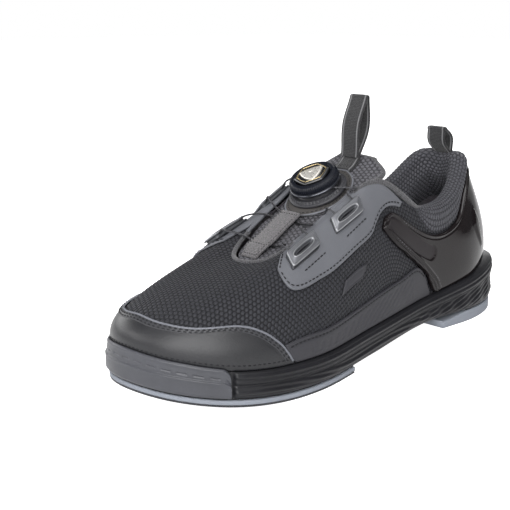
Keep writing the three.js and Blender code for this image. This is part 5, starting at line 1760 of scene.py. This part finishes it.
tongue_strip("tongue_tab_base", 0.775, 0.915, lambda s: 7.0, lambda s: GAP + 0.2 + tab_rise(s),
             lambda s: GAP + 1.5 + tab_rise(s), M["tab"], n=80, radius=0.6)
rows = []
for s0 in (0.8, 0.815):
    y = np.linspace(-5.4, 5.4, 12)
    rows.append((on_tongue(s0, y, GAP + 1.5), np.broadcast_to(tongue_up(s0), (12, 3))))
stitches("tongue_tab_stitching", rows, M["thread"], "tongue", 1.4, 2.1, 0.5, 0.36)

# the heel tab's foot is sewn down the outside of the collar
n, m = 60, 24
v = np.linspace(0.895, 1.0, n)
q = np.sin(np.linspace(-1, 1, m) * math.pi / 2)
VV, Q = np.meshgrid(v, q, indexing="ij")
TT = Q * 7.0 / 17.0
hi = 1.75 + 0.5 * smooth(VV, 0.93, 1)
r = roundover(np.minimum(7 * (1 - np.abs(Q)), (VV - v[0]) * 90) + 0.03, 0.6)
top = over(TT, VV, 0.4 + (hi - 0.4) * (0.3 + 0.7 * r))
top[..., 1] = np.clip(top[..., 1], -7.0, 7.0)
low = over(TT, VV, 0.35 + 0 * Q)
uv = arc_uv(top)
uv[..., 1] -= uv[:, m // 2 : m // 2 + 1, 1]
fix_normals(make("heel_tab_base", np.concatenate([top.reshape(-1, 3), low.reshape(-1, 3)]), slab_faces(n, m),
                 M["tab"], "upper", np.concatenate([uv.reshape(-1, 2)] * 2)))


# ------------------------------------------------------------------ bottom unit
def feather_height(t):
    return ring(F, t)[..., 2]


def sections(name, t, wall, material, body, replaces):
    """Closed sections from the lateral wall over to the medial wall, swept along the shoe."""
    A, B = wall(t), wall(STATIONS - t)
    P = np.concatenate([A, B[:, ::-1]], 1)
    n, m = P.shape[:2]
    u = distances(A[:, 0])
    v = mean_distances(P)
    uv = np.stack(np.meshgrid(u, v, indexing="ij"), -1)
    faces = quads(n, m, False, True).tolist()
    faces.append(list(range(m))[::-1])
    faces.append([(n - 1) * m + k for k in range(m)])
    ob = make(name, P.reshape(-1, 3), faces, material, body, uv.reshape(-1, 2), replaces=replaces)
    return fix_normals(ob)


def midsole_wall(t):
    st = np.where(t <= 8, t, STATIONS - t)
    x = ring(SOLE3, t)[:, 0]
    low, high = underside(x), feather_height(t) - GAP
    share = np.linspace(0, 1, 64)
    T, H = np.meshgrid(t, share, indexing="ij")
    ST = st[:, None]
    inside = smooth(ST, GUARD_END - 0.02, GUARD_END + 0.03)
    waist = np.interp(share, [0, 0.18, 0.5, 0.8, 1], [1.5, 0, 1.2, 0, 1])
    waist = np.convolve(np.pad(waist, 4, "edge"), np.ones(9) / 9, "valid")
    inset = waist[None] * (1 - inside) + 2.5 * inside
    X = np.broadcast_to(x[:, None], T.shape)
    height = (high - low)[:, None]
    down = (1 - H) * height
    up = H * height
    # two rounded beads run below the top edge
    relief = 0.55 * np.exp(-((down - 2.0) / 0.95) ** 2) - 0.35 * np.exp(-((down - 3.7) / 0.55) ** 2)
    relief += 0.45 * np.exp(-((down - 5.4) / 0.9) ** 2) - 0.3 * np.exp(-((down - 7.0) / 0.6) ** 2)
    field = smooth(down, 7.2, 8.6) * smooth(up, 0.8, 2.4)
    # flowing lines to the front, crossing into diamonds towards the heel
    k = 2 * math.pi / 3.1
    flow = np.sin(k * (down + 0.055 * X + 1.3 * np.sin(X / 17.0)))
    counterflow = np.sin(k * (down - 0.16 * X + 0.9 * np.sin(X / 23.0)))
    heel = 1 - smooth(X, 70, 130)
    relief += field * (0.26 * flow * (1 - 0.45 * heel) + 0.26 * counterflow * heel)
    relief += 0.3 * np.exp(-((up - 0.9) / 0.6) ** 2)
    relief *= 1 - inside
    return edge(T, inset - relief, low[:, None] + H * height)


t = even_t(0.0, 8.0, 560)
sections("midsole_shell", t, midsole_wall, M["midsole"], "upper", ("midsole",))


GUARD_CORNER = 4.5


def guard_wall(t):
    x = ring(SOLE3, t)[:, 0]
    s = distances(edge(t, 0, 0))
    # the top corners at the guard's ends are rounded
    corner = np.clip(GUARD_CORNER - np.minimum(s, s[-1] - s), 0, GUARD_CORNER)
    drop = GUARD_CORNER - np.sqrt(GUARD_CORNER**2 - corner**2)
    s = s[:, None]
    low, high = underside(x), feather_height(t) + 1.2 - drop
    share = np.linspace(0, 1, 76)
    T, H = np.meshgrid(t, share, indexing="ij")
    height = (high - low)[:, None]
    up = H * height
    ledge = 0.565 * height
    inset = -GUARD_PROUD + 0.8 * smooth(up, ledge - 0.35, ledge + 0.35) + 0.6 * smooth(up, ledge + 1, height)
    inset = inset + 1.0 * (1 - smooth(up, 0, 1.6))
    # a bead on the ledge and along the top
    relief = 0.15 * np.exp(-((up - ledge + 0.7) / 0.6) ** 2)
    # long dashes along the upper band
    dash = smooth(np.cos(2 * math.pi * s / 8.4), -0.55, -0.25)
    relief -= 0.4 * dash * np.exp(-(((height - up) - 4.9) / 0.42) ** 2)
    relief += 0.2 * np.exp(-((height - up - 1.2) / 0.7) ** 2)
    relief -= 0.6 * smooth(-(height - up), -0.7, 0)
    z = low[:, None] + up
    outer = edge(T, inset - relief, z)
    inner = edge(np.broadcast_to(t[:, None], (len(t), 4)), np.full((len(t), 4), 2.2),
                 low[:, None] + height * np.array([1, 0.7, 0.3, 0])[None])
    return np.concatenate([outer, inner], 1)


def build_guard():
    t = even_t(GUARD_END + 0.06, STATIONS - GUARD_END - 0.06, 520)
    P = guard_wall(t)
    n, m = P.shape[:2]
    u = distances(P[:, 20])
    v = mean_distances(P)
    uv = np.stack(np.meshgrid(u, v, indexing="ij"), -1)
    ob = make("toe_guard_bumper", P.reshape(-1, 3), capped(n, m), M["guard"], "upper", uv.reshape(-1, 2),
              replaces=("toe_guard",))
    fix_normals(ob)


build_guard()


def pad(name, t0, t1, low, high, material, body, node, inset, r, n=320):
    """A sole pad between two heights, both worked out from x and the station, with rounded edges."""
    t = even_t(t0, t1, n)
    insets = (r, 0.3 * r, 0.0, 0.0, 0.3 * r, r)

    def wall(tt):
        st = np.where(tt <= 8, tt, STATIONS - tt)
        x = ring(SOLE3, tt)[:, 0]
        lo, hi = low(x, st), high(x, st)
        rr = min(r, 0.45 * float(np.min(hi - lo)))
        levels = (lo, lo + 0.3 * rr, lo + rr, hi - rr, hi - 0.3 * rr, hi)
        return np.stack([edge(tt, inset + i, z) for i, z in zip(insets, levels)], 1)

    return sections(name, t, wall, material, body, (node,))


SLIDE, SOLE_PAD = 0.9, 2.5
HEEL_BLOCK, HEEL_BEVEL = 7.2, 0.35
TOE_END, HEEL_BACK = 7.995, 0.005


def lifted(height):
    """A level of the forefoot's pads, which rise with the toe."""
    return lambda x, s: height + toe_lift(x)


def heel_floor(x, s):
    return 0 * x


def heel_top(x, s):
    return HEEL_BLOCK * (1 - HEEL_BEVEL * smooth(s, HEEL_END - 0.45, HEEL_END))


pad("slide_pad_sheet", FOREFOOT_START, TOE_END, lifted(0), lifted(SLIDE), M["slide"],
    "forefoot_pad", "forefoot_slide_pad", 1.2, 0.3)
pad("forefoot_carrier", FOREFOOT_START, TOE_END, lifted(SLIDE + GAP), lifted(SLIDE + GAP + SOLE_PAD),
    M["grey"], "forefoot_pad", "forefoot_sole_pad", 1.0, 0.5)
pad("heel_block_foam", HEEL_BACK, HEEL_END, heel_floor, heel_top, M["grey"],
    "heel_block", "heel_pad", 1.0, 0.7)
